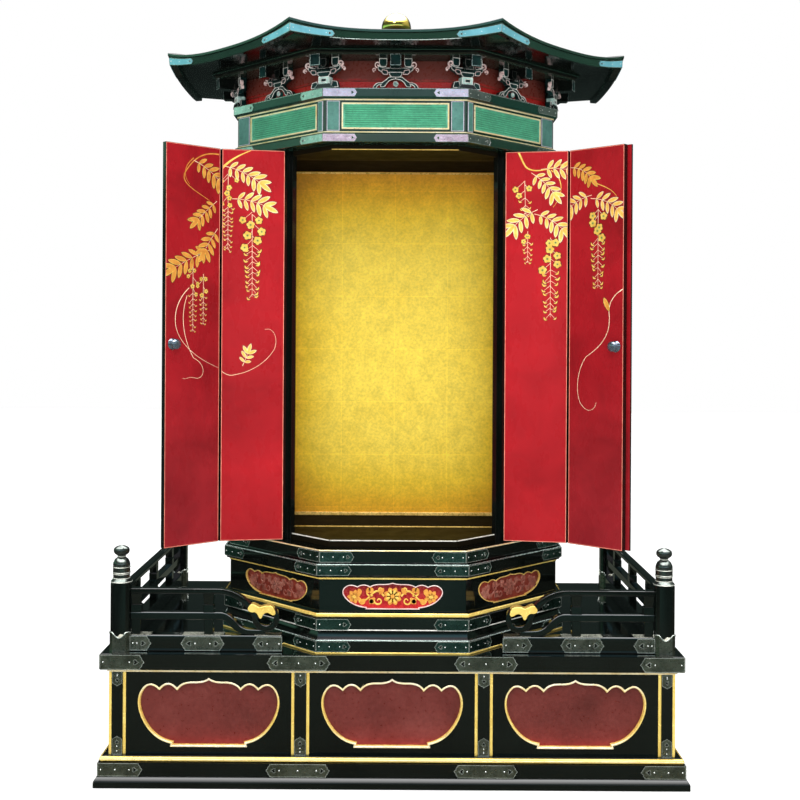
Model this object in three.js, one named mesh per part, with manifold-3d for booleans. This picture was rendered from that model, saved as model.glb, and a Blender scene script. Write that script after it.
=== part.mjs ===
// A household altar shrine in black, red and gold lacquer: a half-octagon cabinet with two
// bifold doors, under a bracketed eave roof, on a moulded pedestal and a railed base.
// Millimetres, +Z up. The front faces -Y. The origin is on the floor, under the base's middle.
import * as THREE from 'three';
import { mergeVertices } from 'three/addons/utils/BufferGeometryUtils.js';
import Module from 'manifold-3d';

const wasm = await Module();
wasm.setup();

// ---------------------------------------------------------------- driving dimensions

// Heights above the floor of the stacked courses.
const Z = {
  floor: 0,
  plinthTop: 43,
  giltTop: 53,
  boardTop: 202,
  slabTop: 230,
  footTop: 254,
  neckTop: 270,
  lowerTop: 301,
  waistTop: 363,
  upperTop: 387,
  floorTop: 410,
  sillTop: 417,
  stepTop: 419,
  threshold: 422,
  lintel: 1124,
  ceilingBoard: 1129.5,
  lowerBeam: 1133,
  friezeWall: 1150,
  upperBeam: 1210,
  beamTop: 1228,
  ceiling: 1281,
  soffit: 1284,
  roofApex: 1392,
};

// The base: half sizes about the origin.
const SLAB = { x: 512, y: 306 };
const WALL = { x: 497, y: 297 };
const BOARD = 18;
const CORNER_POST = 24;
const MID_POST = 21;
const POST_PROUD = 3;
const PANEL_SINK = 6;

// The cabinet's plan is a regular octagon cut off flat at the back. Its sizes are apothems.
const PLAN_Y = 27;
const EIGHTH = Math.PI / 4;
const TAN = Math.tan(Math.PI / 8);
const PEDESTAL_BACK = 104;
const TIER_BACK = 70;
const BODY_BACK = 92;
const ROOF_BACK = 129;
const R = {
  foot: 325,
  neck: 320,
  lower: 323,
  waist: 313,
  upper: 323,
  floor: 313,
  sill: 278,
  wallIn: 278.5,
  wallOut: 290.6,
  beam: 311,
  frieze: 304,
  board: 289,
  ceiling: 345,
  soffitBack: 353,
  eave: 430,
};

// The doors: four leaves that hang on pins on their outer side.
const LEAF_T = 10.5;
const LEAF_Z = [411.5, 1131.5];
const PIN_GAP = 0.3;
const MEET_GAP = 0.75;
const DOOR_OPEN = THREE.MathUtils.degToRad(125.3);
const LEAF_OPEN = THREE.MathUtils.degToRad(12.1);
const KNOB_Z = 773;

// The balustrade on the base.
const POST = { x: 482, y: 274.5, size: 34, top: 350 };
const RAIL = { foot: [230, 258.5], middle: [285, 298], top: [331, 340], deep: 16, footDeep: 24 };
const FRONT_END = 195;

const lacquer = new THREE.MeshStandardMaterial({ color: 0x0b0f0d, roughness: 0.12 });
const redLacquer = new THREE.MeshStandardMaterial({ color: 0xa8161f, roughness: 0.22 });
const goldLeaf = new THREE.MeshStandardMaterial({ color: 0xd9a520, roughness: 0.35, metalness: 0.9 });
const bronze = new THREE.MeshStandardMaterial({ color: 0x4d5a4c, roughness: 0.4, metalness: 0.8 });
const greenPaint = new THREE.MeshStandardMaterial({ color: 0x2f9e78, roughness: 0.5 });

const shrine = new THREE.Group();

// ---------------------------------------------------------------- small tools

// Merged copy of a geometry's shell, with position and index alone.
function shell(geometry) {
  const copy = geometry.clone();
  copy.deleteAttribute('normal');
  copy.deleteAttribute('uv');
  return mergeVertices(copy, 1e-4);
}

// The union of the first geometries less the second ones, as one solid.
function carve(solids, cutters = []) {
  const toManifold = (geometry) => {
    const merged = shell(geometry);
    const mesh = new wasm.Mesh({
      numProp: 3,
      vertProperties: Float32Array.from(merged.attributes.position.array),
      triVerts: Uint32Array.from(merged.index.array),
    });
    return new wasm.Manifold(mesh);
  };
  const joined = solids.map(toManifold).reduce((a, b) => a.add(b));
  const cut = cutters.map(toManifold).reduce((a, b) => a.subtract(b), joined);
  const result = cut.getMesh();
  const geometry = new THREE.BufferGeometry();
  geometry.setAttribute('position', new THREE.BufferAttribute(result.vertProperties, 3));
  geometry.setIndex(new THREE.BufferAttribute(result.triVerts, 1));
  return geometry;
}

function addPart(name, geometry, material, parent = shrine) {
  const mesh = new THREE.Mesh(geometry, material);
  mesh.name = name;
  parent.add(mesh);
  return mesh;
}

function box(x0, x1, y0, y1, z0, z1) {
  const geometry = new THREE.BoxGeometry(x1 - x0, y1 - y0, z1 - z0);
  return geometry.translate((x0 + x1) / 2, (y0 + y1) / 2, (z0 + z1) / 2);
}

function shapeOf(points) {
  return new THREE.Shape(points.map(([x, y]) => new THREE.Vector2(x, y)));
}

// A plan outline raised from z0 to z1.
function prism(points, z0, z1) {
  const geometry = new THREE.ExtrudeGeometry(shapeOf(points), { depth: z1 - z0, bevelEnabled: false });
  return geometry.translate(0, 0, z0);
}

// An outline in the XZ plane, thick from y0 to y1.
function upright(shape, y0, y1, curveSegments = 4) {
  const options = { depth: y1 - y0, bevelEnabled: false, curveSegments };
  return new THREE.ExtrudeGeometry(shape, options).rotateX(Math.PI / 2).translate(0, y1, 0);
}

// A closed skin over rings of equal count, from the lowest to the highest.
function loft(rings) {
  const count = rings[0].length;
  const index = [];
  for (let level = 0; level < rings.length - 1; level += 1) {
    for (let i = 0; i < count; i += 1) {
      const a = level * count + i;
      const b = level * count + (i + 1) % count;
      index.push(a, b, b + count, a, b + count, a + count);
    }
  }
  const top = (rings.length - 1) * count;
  for (let i = 1; i < count - 1; i += 1) {
    index.push(0, i + 1, i);
    index.push(top, top + i, top + i + 1);
  }
  const geometry = new THREE.BufferGeometry();
  geometry.setAttribute('position', new THREE.Float32BufferAttribute(rings.flat(2), 3));
  geometry.setIndex(index);
  return geometry;
}

// The octagon's plan outline, seen from above and counter-clockwise from the front left.
function plan(apothem, back) {
  const half = apothem * TAN;
  return [
    [-half, PLAN_Y - apothem],
    [half, PLAN_Y - apothem],
    [apothem, PLAN_Y - half],
    [apothem, back],
    [-apothem, back],
    [-apothem, PLAN_Y - half],
  ];
}

// A moulded course on the octagon: profile is a list of [apothem, height].
function course(profile, back) {
  return loft(profile.map(([apothem, z]) => plan(apothem, back).map(([x, y]) => [x, y, z])));
}

// A moulded course on the base's rectangle: profile is a list of [overhang, height].
function baseCourse(profile) {
  const ring = ([overhang, z]) => {
    const x = WALL.x + overhang;
    const y = WALL.y + overhang;
    return [[-x, -y, z], [x, -y, z], [x, y, z], [-x, y, z]];
  };
  return loft(profile.map(ring));
}

// A frame that faces -Y, turned to one of the octagon's faces: 0 is the front, 1 its right.
function faceFrame(turn) {
  const frame = new THREE.Group();
  frame.position.set(0, PLAN_Y, 0);
  frame.rotation.z = turn * EIGHTH;
  shrine.add(frame);
  return frame;
}

// A geometry made in the front face's frame, moved to another face.
function onFace(geometry, turn) {
  return geometry.rotateZ(turn * EIGHTH).translate(0, PLAN_Y, 0);
}

// The cusped opening called a kozama: an ogee arch between small lobes, over a bowl.
function kozama(width, height, x = 0, z = 0, margin = 0) {
  const w = width / 2 - margin;
  const h = height - 2 * margin;
  const shape = new THREE.Shape();
  const at = (u, v, side) => [x + side * u * w, z + margin + v * h];
  const half = [
    [[0.53, 0]],
    [[0.52, 0.045]],
    [[0.8, 0.1], [0.94, 0.42]],
    [[1.03, 0.64], [0.96, 0.8]],
    [[0.86, 1.0], [0.7, 0.845]],
    [[0.58, 1.0], [0.45, 0.845]],
    [[0.38, 0.95], [0.22, 0.945]],
    [[0.06, 0.94], [0, 1]],
  ];
  shape.moveTo(...at(0.53, 0, -1));
  half.forEach(([control, end]) => {
    if (end) shape.quadraticCurveTo(...at(...control, 1), ...at(...end, 1));
    else shape.lineTo(...at(...control, 1));
  });
  for (let i = half.length - 1; i > 1; i -= 1) {
    const target = half[i - 1][1] ?? half[i - 1][0];
    shape.quadraticCurveTo(...at(...half[i][0], -1), ...at(...target, -1));
  }
  return shape;
}

// ---------------------------------------------------------------- the base

function buildBase() {
  const plinth = [[23, 0], [23, 11], [18, 18], [16, 18], [16, Z.plinthTop]];
  addPart('base_plinth', baseCourse(plinth), lacquer);
  const gilt = [[14, Z.plinthTop], [14, 46.5], [11, 48], [9, 48], [9, 50.5], [5, Z.giltTop]];
  addPart('base_gilt_moulding', baseCourse(gilt), goldLeaf);

  const z0 = Z.giltTop;
  const z1 = Z.boardTop;
  const front = [box(-WALL.x, WALL.x, -WALL.y, -WALL.y + BOARD, z0, z1)];
  const side = [box(-WALL.y + BOARD, WALL.y - BOARD, -WALL.x, -WALL.x + BOARD, z0, z1)];
  const pitch = (2 * WALL.x - 2 * CORNER_POST - 2 * MID_POST) / 3 + MID_POST;
  const postEdges = [-WALL.x + 0.25, -pitch / 2 - MID_POST / 2, pitch / 2 - MID_POST / 2];
  postEdges.push(WALL.x - CORNER_POST);
  postEdges.forEach((x, i) => {
    const wide = i % 3 === 0 ? CORNER_POST - 0.25 : MID_POST;
    front.push(box(x, x + wide, -WALL.y - POST_PROUD, -WALL.y + 1, z0, z1));
  });
  [-WALL.y + BOARD, -MID_POST / 2, WALL.y - BOARD - CORNER_POST].forEach((x, i) => {
    const wide = i === 1 ? MID_POST : CORNER_POST;
    side.push(box(x, x + wide, -WALL.x - POST_PROUD, -WALL.x + 1, z0, z1));
  });
  const sunk = (x, faceY) => upright(kozama(248, 118, x, 67), faceY - 1, faceY + PANEL_SINK, 3);
  const frontSunk = [-1, 0, 1].map((i) => sunk(i * pitch, -WALL.y));
  const sideSunk = [-1, 1].map((i) => sunk(i * (WALL.y - BOARD) / 2 - i * 2, -WALL.x));
  addPart('base_front_board', carve(front, frontSunk), lacquer);
  const flank = carve(side, sideSunk);
  addPart('base_side_board_right', flank.clone().rotateZ(Math.PI / 2), lacquer);
  addPart('base_side_board_left', flank.clone().rotateZ(-Math.PI / 2), lacquer);
  addPart('base_back_board', box(-WALL.x, WALL.x, WALL.y - BOARD, WALL.y, z0, z1), lacquer);
  addPart('base_slab', box(-SLAB.x, SLAB.x, -SLAB.y, SLAB.y, z1, Z.slabTop), lacquer);
}

// ---------------------------------------------------------------- the balustrade

// A strip that follows a centre line in the XZ plane, with a width that may taper.
function ribbon(points, widthAt) {
  const upper = [];
  const lower = [];
  points.forEach(([x, z], i) => {
    const [ax, az] = points[Math.max(i - 1, 0)];
    const [bx, bz] = points[Math.min(i + 1, points.length - 1)];
    const length = Math.hypot(bx - ax, bz - az);
    const half = widthAt(i / (points.length - 1)) / 2;
    upper.push([x - (bz - az) / length * half, z + (bx - ax) / length * half]);
    lower.unshift([x + (bz - az) / length * half, z - (bx - ax) / length * half]);
  });
  return upper.concat(lower);
}

// The top rail: level from the post, then down and round into a fern curl.
function scrollRail(postFace) {
  const curl = { x: 223, z: 290, r: 21 };
  const z = (RAIL.top[0] + RAIL.top[1]) / 2;
  const drop = new THREE.CubicBezierCurve(
    new THREE.Vector2(312, z),
    new THREE.Vector2(280, z),
    new THREE.Vector2(256, 318),
    new THREE.Vector2(curl.x + curl.r, curl.z),
  );
  const line = [[postFace, z]];
  drop.getPoints(7).forEach((p) => line.push([p.x, p.y]));
  const turns = 12;
  for (let i = 1; i <= turns; i += 1) {
    const angle = -1.55 * Math.PI * i / turns;
    const r = curl.r * (1 - 0.38 * (i / turns) ** 2);
    line.push([curl.x + r * Math.cos(angle), curl.z + r * Math.sin(angle)]);
  }
  return ribbon(line, (t) => 9 + 1.5 * Math.sin(Math.PI * t));
}

// The middle rail: level, then a soft drop that lies down on the foot rail.
function dropRail(postFace) {
  const z = (RAIL.middle[0] + RAIL.middle[1]) / 2;
  const drop = new THREE.CubicBezierCurve(
    new THREE.Vector2(306, z),
    new THREE.Vector2(284, z),
    new THREE.Vector2(282, RAIL.foot[1] + 5),
    new THREE.Vector2(252, RAIL.foot[1] + 4.8),
  );
  const line = [[postFace, z]];
  drop.getPoints(8).forEach((p) => line.push([p.x, p.y]));
  return ribbon(line, (t) => 13 - 4 * Math.max(0, 2 * t - 1));
}

// A strut: square under the middle rail, then a shoulder block and a bearing block above it.
function strut(x, deep) {
  const y = deep / 2 - 1;
  const shoulder = RAIL.middle[1] + 13.5;
  const ring = (half, z) => [[x - half, -y, z], [x + half, -y, z], [x + half, y, z], [x - half, y, z]];
  return [
    box(x - 8, x + 8, -y, y, RAIL.foot[1] + 0.3, RAIL.middle[0] + 1),
    box(x - 9.5, x + 9.5, -y - 0.6, y + 0.6, RAIL.middle[1] - 1, shoulder),
    loft([ring(7.5, shoulder - 1), ring(7.5, shoulder + 1), ring(10, shoulder + 7), ring(10, RAIL.top[0] - 0.3)]),
  ];
}

function mirrorX(points) {
  return points.map(([x, y]) => [-x, y]);
}

function buildBalustrade() {
  const c = 6;
  const h = POST.size / 2;
  const post = [[-h + c, -h], [h - c, -h], [h, -h + c], [h, h - c], [h - c, h], [-h + c, h], [-h, h - c],
    [-h, -h + c]];
  const capProfile = [[0, 0], [16.6, 0], [16.6, 3], [14.7, 6], [14.7, 15], [13, 17], [14.7, 19], [14.7, 28],
    [14, 36], [6.5, 43], [13.7, 52], [13, 57], [0, 66]];
  const cap = new THREE.LatheGeometry(capProfile.map(([r, z]) => new THREE.Vector2(r, z)), 8);
  cap.rotateX(Math.PI / 2);
  const deep = RAIL.deep / 2;
  const footDeep = RAIL.footDeep / 2;
  const face = POST.x - h - 0.3;
  [['left', -1], ['right', 1]].forEach(([side, sx]) => {
    [['front', -1], ['rear', 1]].forEach(([end, sy]) => {
      const place = [sx * POST.x, sy * POST.y, 0];
      const shaft = addPart(`balustrade_post_${end}_${side}`, prism(post, Z.slabTop, POST.top), lacquer);
      shaft.position.set(...place);
      const top = addPart(`post_cap_${end}_${side}`, cap.clone(), bronze);
      top.position.set(place[0], place[1], POST.top + 0.3);
    });

    const run = (points) => (sx < 0 ? mirrorX(points) : points);
    const span = (a, b) => [Math.min(sx * a, sx * b), Math.max(sx * a, sx * b)];
    const front = new THREE.Group();
    front.position.set(0, -POST.y, 0);
    shrine.add(front);
    const footRail = box(...span(FRONT_END, face), -footDeep, footDeep, ...RAIL.foot);
    addPart(`foot_rail_front_${side}`, footRail, lacquer, front);
    const middle = [upright(shapeOf(run(dropRail(face))), -deep, deep)];
    [face - 10.5, 326].forEach((x) => middle.push(...strut(sx * x, RAIL.deep)));
    addPart(`middle_rail_front_${side}`, carve(middle), lacquer, front);
    addPart(`top_rail_front_${side}`, upright(shapeOf(run(scrollRail(face))), -deep, deep), lacquer, front);

    const flank = new THREE.Group();
    flank.position.set(sx * POST.x, 0, 0);
    flank.rotation.z = sx * Math.PI / 2;
    shrine.add(flank);
    const reach = POST.y - h - 0.3;
    const straight = (zs, half) => box(-reach, reach, -half, half, ...zs);
    addPart(`foot_rail_side_${side}`, straight(RAIL.foot, footDeep), lacquer, flank);
    const sideMiddle = [straight(RAIL.middle, deep)];
    [-160, 0, 160].forEach((x) => sideMiddle.push(...strut(x, RAIL.deep)));
    addPart(`middle_rail_side_${side}`, carve(sideMiddle), lacquer, flank);
    addPart(`top_rail_side_${side}`, straight(RAIL.top, deep), lacquer, flank);
  });
}

// ---------------------------------------------------------------- the pedestal

// The diagonal faces' panels stand this far forward of the face's middle.
const WAIST_PANEL = { width: 178, height: 46, z: 307, sink: 5, plate: 2, forward: 8 };

// A carved flower on its scroll, standing on a cusped plate. The plate's back is at y = 0.
function scrollPanel() {
  const { width, height, z, plate } = WAIST_PANEL;
  const middle = z + height / 2 - 1;
  const pieces = [upright(kozama(width, height, 0, z, 1), -plate, 0, 2)];
  const lift = plate + 1.6;
  const petal = (x, zc, angle, long, wide) => {
    const outline = [[-1.7, -0.6], [long * 0.55, -wide / 2], [long, 0.4], [long * 0.55, wide / 2], [-1.7, 0.6]];
    const turned = outline.map(([u, v]) => [
      x + u * Math.cos(angle) - v * Math.sin(angle),
      zc + u * Math.sin(angle) + v * Math.cos(angle),
    ]);
    return upright(shapeOf(turned), -lift, -plate + 0.5);
  };
  const flower = (x, petals, long) => {
    for (let i = 0; i < petals; i += 1) {
      pieces.push(petal(x, middle, Math.PI / 2 + 2 * Math.PI * i / petals, long, long * 0.62));
    }
  };
  flower(0, 6, 15);
  [-1, 1].forEach((side) => {
    const stem = [];
    const steps = 4;
    for (let i = 0; i <= steps; i += 1) {
      const t = i / steps;
      stem.push([side * (13 + 44 * t), middle + 8 * Math.sin(2 * Math.PI * t)]);
    }
    pieces.push(upright(shapeOf(ribbon(stem, (t) => 4 - 1.5 * t)), -lift + 0.4, -plate + 0.5));
    pieces.push(petal(side * 30, middle + 3, Math.PI / 2 - side * 1.9, 13, 6));
    pieces.push(petal(side * 46, middle - 4, Math.PI / 2 + side * 0.2, 14, 6));
    for (let i = -1; i <= 1; i += 1) {
      pieces.push(petal(side * 56, middle - 1, (side < 0 ? Math.PI : 0) + i * 0.9, 12, 6.5));
    }
  });
  return carve(pieces);
}

function buildPedestal() {
  addPart('pedestal_foot', course([
    [R.foot, Z.slabTop],
    [R.foot, Z.footTop],
    [R.neck, Z.footTop],
    [R.neck - 3, Z.neckTop],
  ], PEDESTAL_BACK), lacquer);
  addPart('pedestal_lower_moulding', course([
    [R.lower, Z.neckTop],
    [R.lower, 293],
    [R.lower - 2, 294],
    [R.lower - 2, Z.lowerTop],
  ], PEDESTAL_BACK), lacquer);
  const waist = course([[R.waist, Z.lowerTop], [R.waist, Z.waistTop]], PEDESTAL_BACK);
  const { width, height, z, sink, forward } = WAIST_PANEL;
  const sunk = [-1, 0, 1].map((turn) => (
    onFace(upright(kozama(width, height, -turn * forward, z), -R.waist - 1, -R.waist + sink, 2), turn)
  ));
  addPart('pedestal_waist', carve([waist], sunk), lacquer);
  [['left', -1], ['front', 0], ['right', 1]].forEach(([name, turn]) => {
    const panel = addPart(`waist_panel_${name}`, scrollPanel(), redLacquer, faceFrame(turn));
    panel.position.set(-turn * forward, -R.waist + sink - 0.3, 0);
  });
  addPart('pedestal_upper_moulding', course([
    [R.upper - 3, Z.waistTop],
    [R.upper - 3, 366],
    [R.upper, 367],
    [R.upper, Z.upperTop],
  ], PEDESTAL_BACK), lacquer);
  addPart('cabinet_floor_board', course([
    [R.floor, Z.upperTop],
    [R.floor, Z.floorTop],
  ], PEDESTAL_BACK), lacquer);
}

// ---------------------------------------------------------------- the cabinet

const GOLD_WALL = [64, 72];
const STEP_FRONT = -74;
const THRESHOLD = 14;
const LINTEL_BACK = -122;
const JAMB_STOP = { reach: 8, back: 10, inner: 268 };

// A plan point on the right diagonal face: along it from its middle, and its apothem.
function onDiagonal(along, apothem) {
  const c = Math.SQRT1_2;
  return [c * (apothem + along), PLAN_Y + c * (along - apothem)];
}

function buildCabinet() {
  const half = R.wallOut * TAN;
  const innerHalf = R.wallIn * TAN;
  const wall = [
    onDiagonal(PIN_GAP, R.wallOut),
    onDiagonal(half, R.wallOut),
    [R.wallOut, BODY_BACK],
    [R.wallIn, BODY_BACK],
    onDiagonal(innerHalf, R.wallIn),
    onDiagonal(JAMB_STOP.back, R.wallIn),
    onDiagonal(JAMB_STOP.back, JAMB_STOP.inner),
    onDiagonal(-JAMB_STOP.reach, JAMB_STOP.inner),
    onDiagonal(-JAMB_STOP.reach, R.wallIn),
    onDiagonal(PIN_GAP, R.wallIn),
  ];
  addPart('cabinet_wall_right', prism(wall, Z.floorTop, Z.lowerBeam), lacquer);
  addPart('cabinet_wall_left', prism(mirrorX(wall), Z.floorTop, Z.lowerBeam), lacquer);
  const inside = R.wallIn - 0.5;
  const back = box(-inside, inside, GOLD_WALL[1], BODY_BACK, Z.floorTop, Z.lowerBeam);
  addPart('cabinet_back_wall', back, lacquer);
  const gold = box(-inside, inside, GOLD_WALL[0], GOLD_WALL[1], Z.sillTop, Z.lowerBeam);
  addPart('gold_back_panel', gold, goldLeaf);

  // The sill, with its raised threshold, and the lintel run round inside the jambs, which stand in notches.
  const inner = plan(R.sill, GOLD_WALL[1]);
  const notch = [
    onDiagonal(-JAMB_STOP.reach - 0.4, R.wallIn + 9),
    onDiagonal(JAMB_STOP.back + 0.4, R.wallIn + 9),
    onDiagonal(JAMB_STOP.back + 0.4, JAMB_STOP.inner - 0.4),
    onDiagonal(-JAMB_STOP.reach - 0.4, JAMB_STOP.inner - 0.4),
  ];
  const notches = (z0, z1) => [prism(notch, z0 - 1, z1 + 1), prism(mirrorX(notch), z0 - 1, z1 + 1)];
  const behind = box(-400, 400, LINTEL_BACK, 200, Z.sillTop, Z.lowerBeam + 1);
  const hollow = prism(plan(R.sill - THRESHOLD, BODY_BACK), Z.sillTop, Z.threshold + 1);
  const sill = carve([prism(inner, Z.floorTop, Z.threshold)], [behind, hollow, ...notches(Z.floorTop, Z.threshold)]);
  addPart('door_sill', sill, lacquer);
  const lintel = carve([prism(inner, Z.lintel, Z.lowerBeam)], [behind, ...notches(Z.lintel, Z.lowerBeam)]);
  addPart('door_lintel', lintel, lacquer);
  const floorStep = box(-inside, inside, STEP_FRONT, GOLD_WALL[0], Z.sillTop, Z.stepTop);
  addPart('inner_floor_step', floorStep, lacquer);
  const ahead = box(-400, 400, -400, LINTEL_BACK, Z.ceilingBoard - 1, Z.lowerBeam + 1);
  const ceiling = carve(
    [prism(plan(inside, GOLD_WALL[0]), Z.ceilingBoard, Z.lowerBeam)],
    [ahead, ...notches(Z.ceilingBoard, Z.lowerBeam)],
  );
  addPart('inner_ceiling_board', ceiling, lacquer);
}

// ---------------------------------------------------------------- the doors

// A leaf hangs from a pin at its frame's origin and runs along X. Its outer face is near y = 0.
function buildDoors() {
  const width = R.wallOut * TAN;
  const mitre = (depth) => depth * TAN + 0.35;
  const t0 = PIN_GAP;
  const t1 = PIN_GAP + LEAF_T;
  const knobProfile = [[0, 0], [10, 0], [10, 1.5], [4, 3], [4, 7], [9, 10], [8, 14], [0, 16]];
  [['left', -1], ['right', 1]].forEach(([side, sx]) => {
    const inward = (points) => points.map(([x, depth]) => [x, -sx * depth]);
    const jamb = new THREE.Group();
    const [px, py] = onDiagonal(0, R.wallOut);
    jamb.position.set(sx * px, py, 0);
    jamb.rotation.z = sx > 0 ? -3 * EIGHTH + DOOR_OPEN : -EIGHTH - DOOR_OPEN;
    shrine.add(jamb);
    const inner = [[t0, t0], [t0, t1], [width - mitre(t1), t1], [width - mitre(t0), t0]];
    addPart(`door_inner_leaf_${side}`, prism(inward(inner), ...LEAF_Z), redLacquer, jamb);

    const fold = new THREE.Group();
    fold.position.set(width, 0, 0);
    fold.rotation.z = -sx * (EIGHTH - LEAF_OPEN);
    jamb.add(fold);
    const free = width - MEET_GAP;
    const outer = [[mitre(t0), t0], [mitre(t1), t1], [free, t1], [free, t0]];
    const solids = [prism(inward(outer), ...LEAF_Z)];
    if (sx > 0) {
      const strip = [[free - 9, t0 + 1], [free - 9, -4.5], [free + 8, -4.5], [free + 8, -0.5], [free - 1, -0.5],
        [free - 1, t0 + 1]];
      solids.push(prism(inward(strip), ...LEAF_Z));
    }
    addPart(`door_outer_leaf_${side}`, carve(solids), redLacquer, fold);
    const knob = new THREE.LatheGeometry(knobProfile.map(([r, h]) => new THREE.Vector2(r, h)), 8);
    if (sx > 0) knob.rotateZ(Math.PI);
    const pull = addPart(`door_knob_${side}`, knob, bronze, fold);
    pull.position.set(free - 16, -sx * (t1 + 0.3), KNOB_Z);
  });
}

// ---------------------------------------------------------------- the frieze

const LOUVRE = { width: 190, z: [1157, 1203], sink: 6, slats: 8, forward: 10 };

// A slatted panel in a raised frame: its back is at y = 0.
function louvrePanel() {
  const [z0, z1] = LOUVRE.z;
  const half = LOUVRE.width / 2 - 0.5;
  const rim = 4;
  const pitch = (z1 - z0 - 2 * rim) / LOUVRE.slats;
  const profile = [[0, z0 + 0.5], [-6.5, z0 + 0.5], [-6.5, z0 + rim]];
  for (let i = 0; i < LOUVRE.slats; i += 1) {
    profile.push([-2.2, z0 + rim + i * pitch + 0.4], [-4.6, z0 + rim + (i + 0.85) * pitch]);
  }
  profile.push([-6.5, z1 - rim], [-6.5, z1 - 0.5], [0, z1 - 0.5]);
  const shape = shapeOf(profile.map(([y, z]) => [-y, z]));
  const slats = new THREE.ExtrudeGeometry(shape, { depth: 2 * half, bevelEnabled: false });
  slats.rotateX(Math.PI / 2).rotateZ(-Math.PI / 2).translate(half, 0, 0);
  const ends = [-1, 1].map((side) => {
    const x = side * (half - rim / 2);
    return box(x - rim / 2, x + rim / 2, -6.5, 0, z0 + 0.5, z1 - 0.5);
  });
  return carve([slats, ...ends]);
}

function buildFrieze() {
  addPart('frieze_lower_beam', course([
    [R.beam, Z.lowerBeam],
    [R.beam, 1147],
    [R.beam - 3, Z.friezeWall],
  ], PEDESTAL_BACK), lacquer);
  const [z0, z1] = LOUVRE.z;
  const half = LOUVRE.width / 2;
  const wall = course([[R.frieze, Z.friezeWall], [R.frieze, Z.upperBeam]], PEDESTAL_BACK);
  const sunk = [-1, 0, 1].map((turn) => (
    onFace(box(
      -half - turn * LOUVRE.forward,
      half - turn * LOUVRE.forward,
      -R.frieze - 1,
      -R.frieze + LOUVRE.sink,
      z0,
      z1,
    ), turn)
  ));
  addPart('frieze_wall', carve([wall], sunk), lacquer);
  [['left', -1], ['front', 0], ['right', 1]].forEach(([name, turn]) => {
    const panel = addPart(`louvre_panel_${name}`, louvrePanel(), greenPaint, faceFrame(turn));
    panel.position.set(-turn * LOUVRE.forward, -R.frieze + LOUVRE.sink - 0.3, 0);
  });
  addPart('frieze_upper_beam', course([
    [R.beam - 3, Z.upperBeam],
    [R.beam, 1213],
    [R.beam, Z.beamTop],
  ], PEDESTAL_BACK), lacquer);
  addPart('bracket_ground_board', course([
    [R.board, Z.beamTop],
    [R.board, Z.soffit],
  ], BODY_BACK), redLacquer);
}

// ---------------------------------------------------------------- the bracket tier

// A bearing block, wider above than at its foot.
function bearing(x, y, z0, z1, size) {
  const ring = (half, z) => [[x - half, y - half, z], [x + half, y - half, z], [x + half, y + half, z],
    [x - half, y + half, z]];
  return loft([ring(size * 0.34, z0), ring(size / 2, z1)]);
}

// A bracket arm along X: its underside rises, and its ends curl up into a nose.
function armOutline(reach, z0, z1) {
  const half = [[reach * 0.45, z0], [reach * 0.8, z0 + 1.5], [reach, z0 + 5], [reach, z1 + 4],
    [reach - 6, z1]];
  return shapeOf(half.concat(mirrorX(half).reverse()));
}

// The frog-leg strut: an arch on two spread feet, open below.
function frogLegs(z0, z1) {
  const high = z1 - z0;
  const shape = new THREE.Shape();
  shape.moveTo(-41, z0);
  shape.quadraticCurveTo(-26, z0 + 3, -21, z0 + high * 0.62);
  shape.lineTo(-12, z1);
  shape.lineTo(12, z1);
  shape.lineTo(21, z0 + high * 0.62);
  shape.quadraticCurveTo(26, z0 + 3, 41, z0);
  shape.lineTo(24, z0);
  shape.lineTo(16, z0 + high * 0.6);
  shape.lineTo(0, z0 + high * 0.74);
  shape.lineTo(-16, z0 + high * 0.6);
  shape.lineTo(-24, z0);
  shape.closePath();
  return shape;
}

// One stack of blocks and arms, made facing -Y about its own middle line at the wall face.
function bracketStack(withLegs) {
  const out = R.ceiling - R.board - 1;
  const bottom = withLegs ? 1248 : Z.beamTop;
  const top = Z.ceiling + 1;
  const stack = [
    bearing(0, -13, bottom, 1257, withLegs ? 22 : 24),
    upright(armOutline(31, 1256, 1266), -19, -7),
    box(-10, 10, -out, -0.5, 1260, top),
  ];
  [-1, 1].forEach((side) => stack.push(bearing(side * 22, -13, 1265, top, 13)));
  if (withLegs) stack.push(upright(frogLegs(Z.beamTop, 1249), -18, -8, 2));
  return stack;
}

// The stacks stand on the frieze under one thin ceiling board.
function buildBrackets() {
  const apothem = R.board + 0.5;
  const pieces = [];
  [-2, -1, 0, 1, 2].forEach((turn) => {
    const along = Math.abs(turn) === 2 ? (TIER_BACK - PLAN_Y - apothem * TAN) / 2 * Math.sign(turn) : 0;
    bracketStack(true).forEach((piece) => {
      pieces.push(onFace(piece.translate(along, -apothem, 0), turn));
    });
  });
  const corner = apothem / Math.cos(EIGHTH / 2);
  [-1.5, -0.5, 0.5, 1.5].forEach((turn) => {
    bracketStack(false).forEach((piece) => {
      pieces.push(onFace(piece.translate(0, -corner - 0.5, 0), turn));
    });
  });
  const board = carve(
    [prism(plan(R.ceiling, TIER_BACK), Z.ceiling, Z.soffit)],
    [prism(plan(apothem, TIER_BACK + 2), Z.ceiling - 1, Z.soffit + 1)],
  );
  addPart('bracket_tier', carve([board, ...pieces]), lacquer);
}

// ---------------------------------------------------------------- the roof

const EAVE = { sweepTop: 20, sweepBottom: 13, power: 2.6, top: 1300.7, bottom: 1283.7, lean: 4 };
const FACE_STEPS = 5;
const APEX_R = 24;

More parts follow.
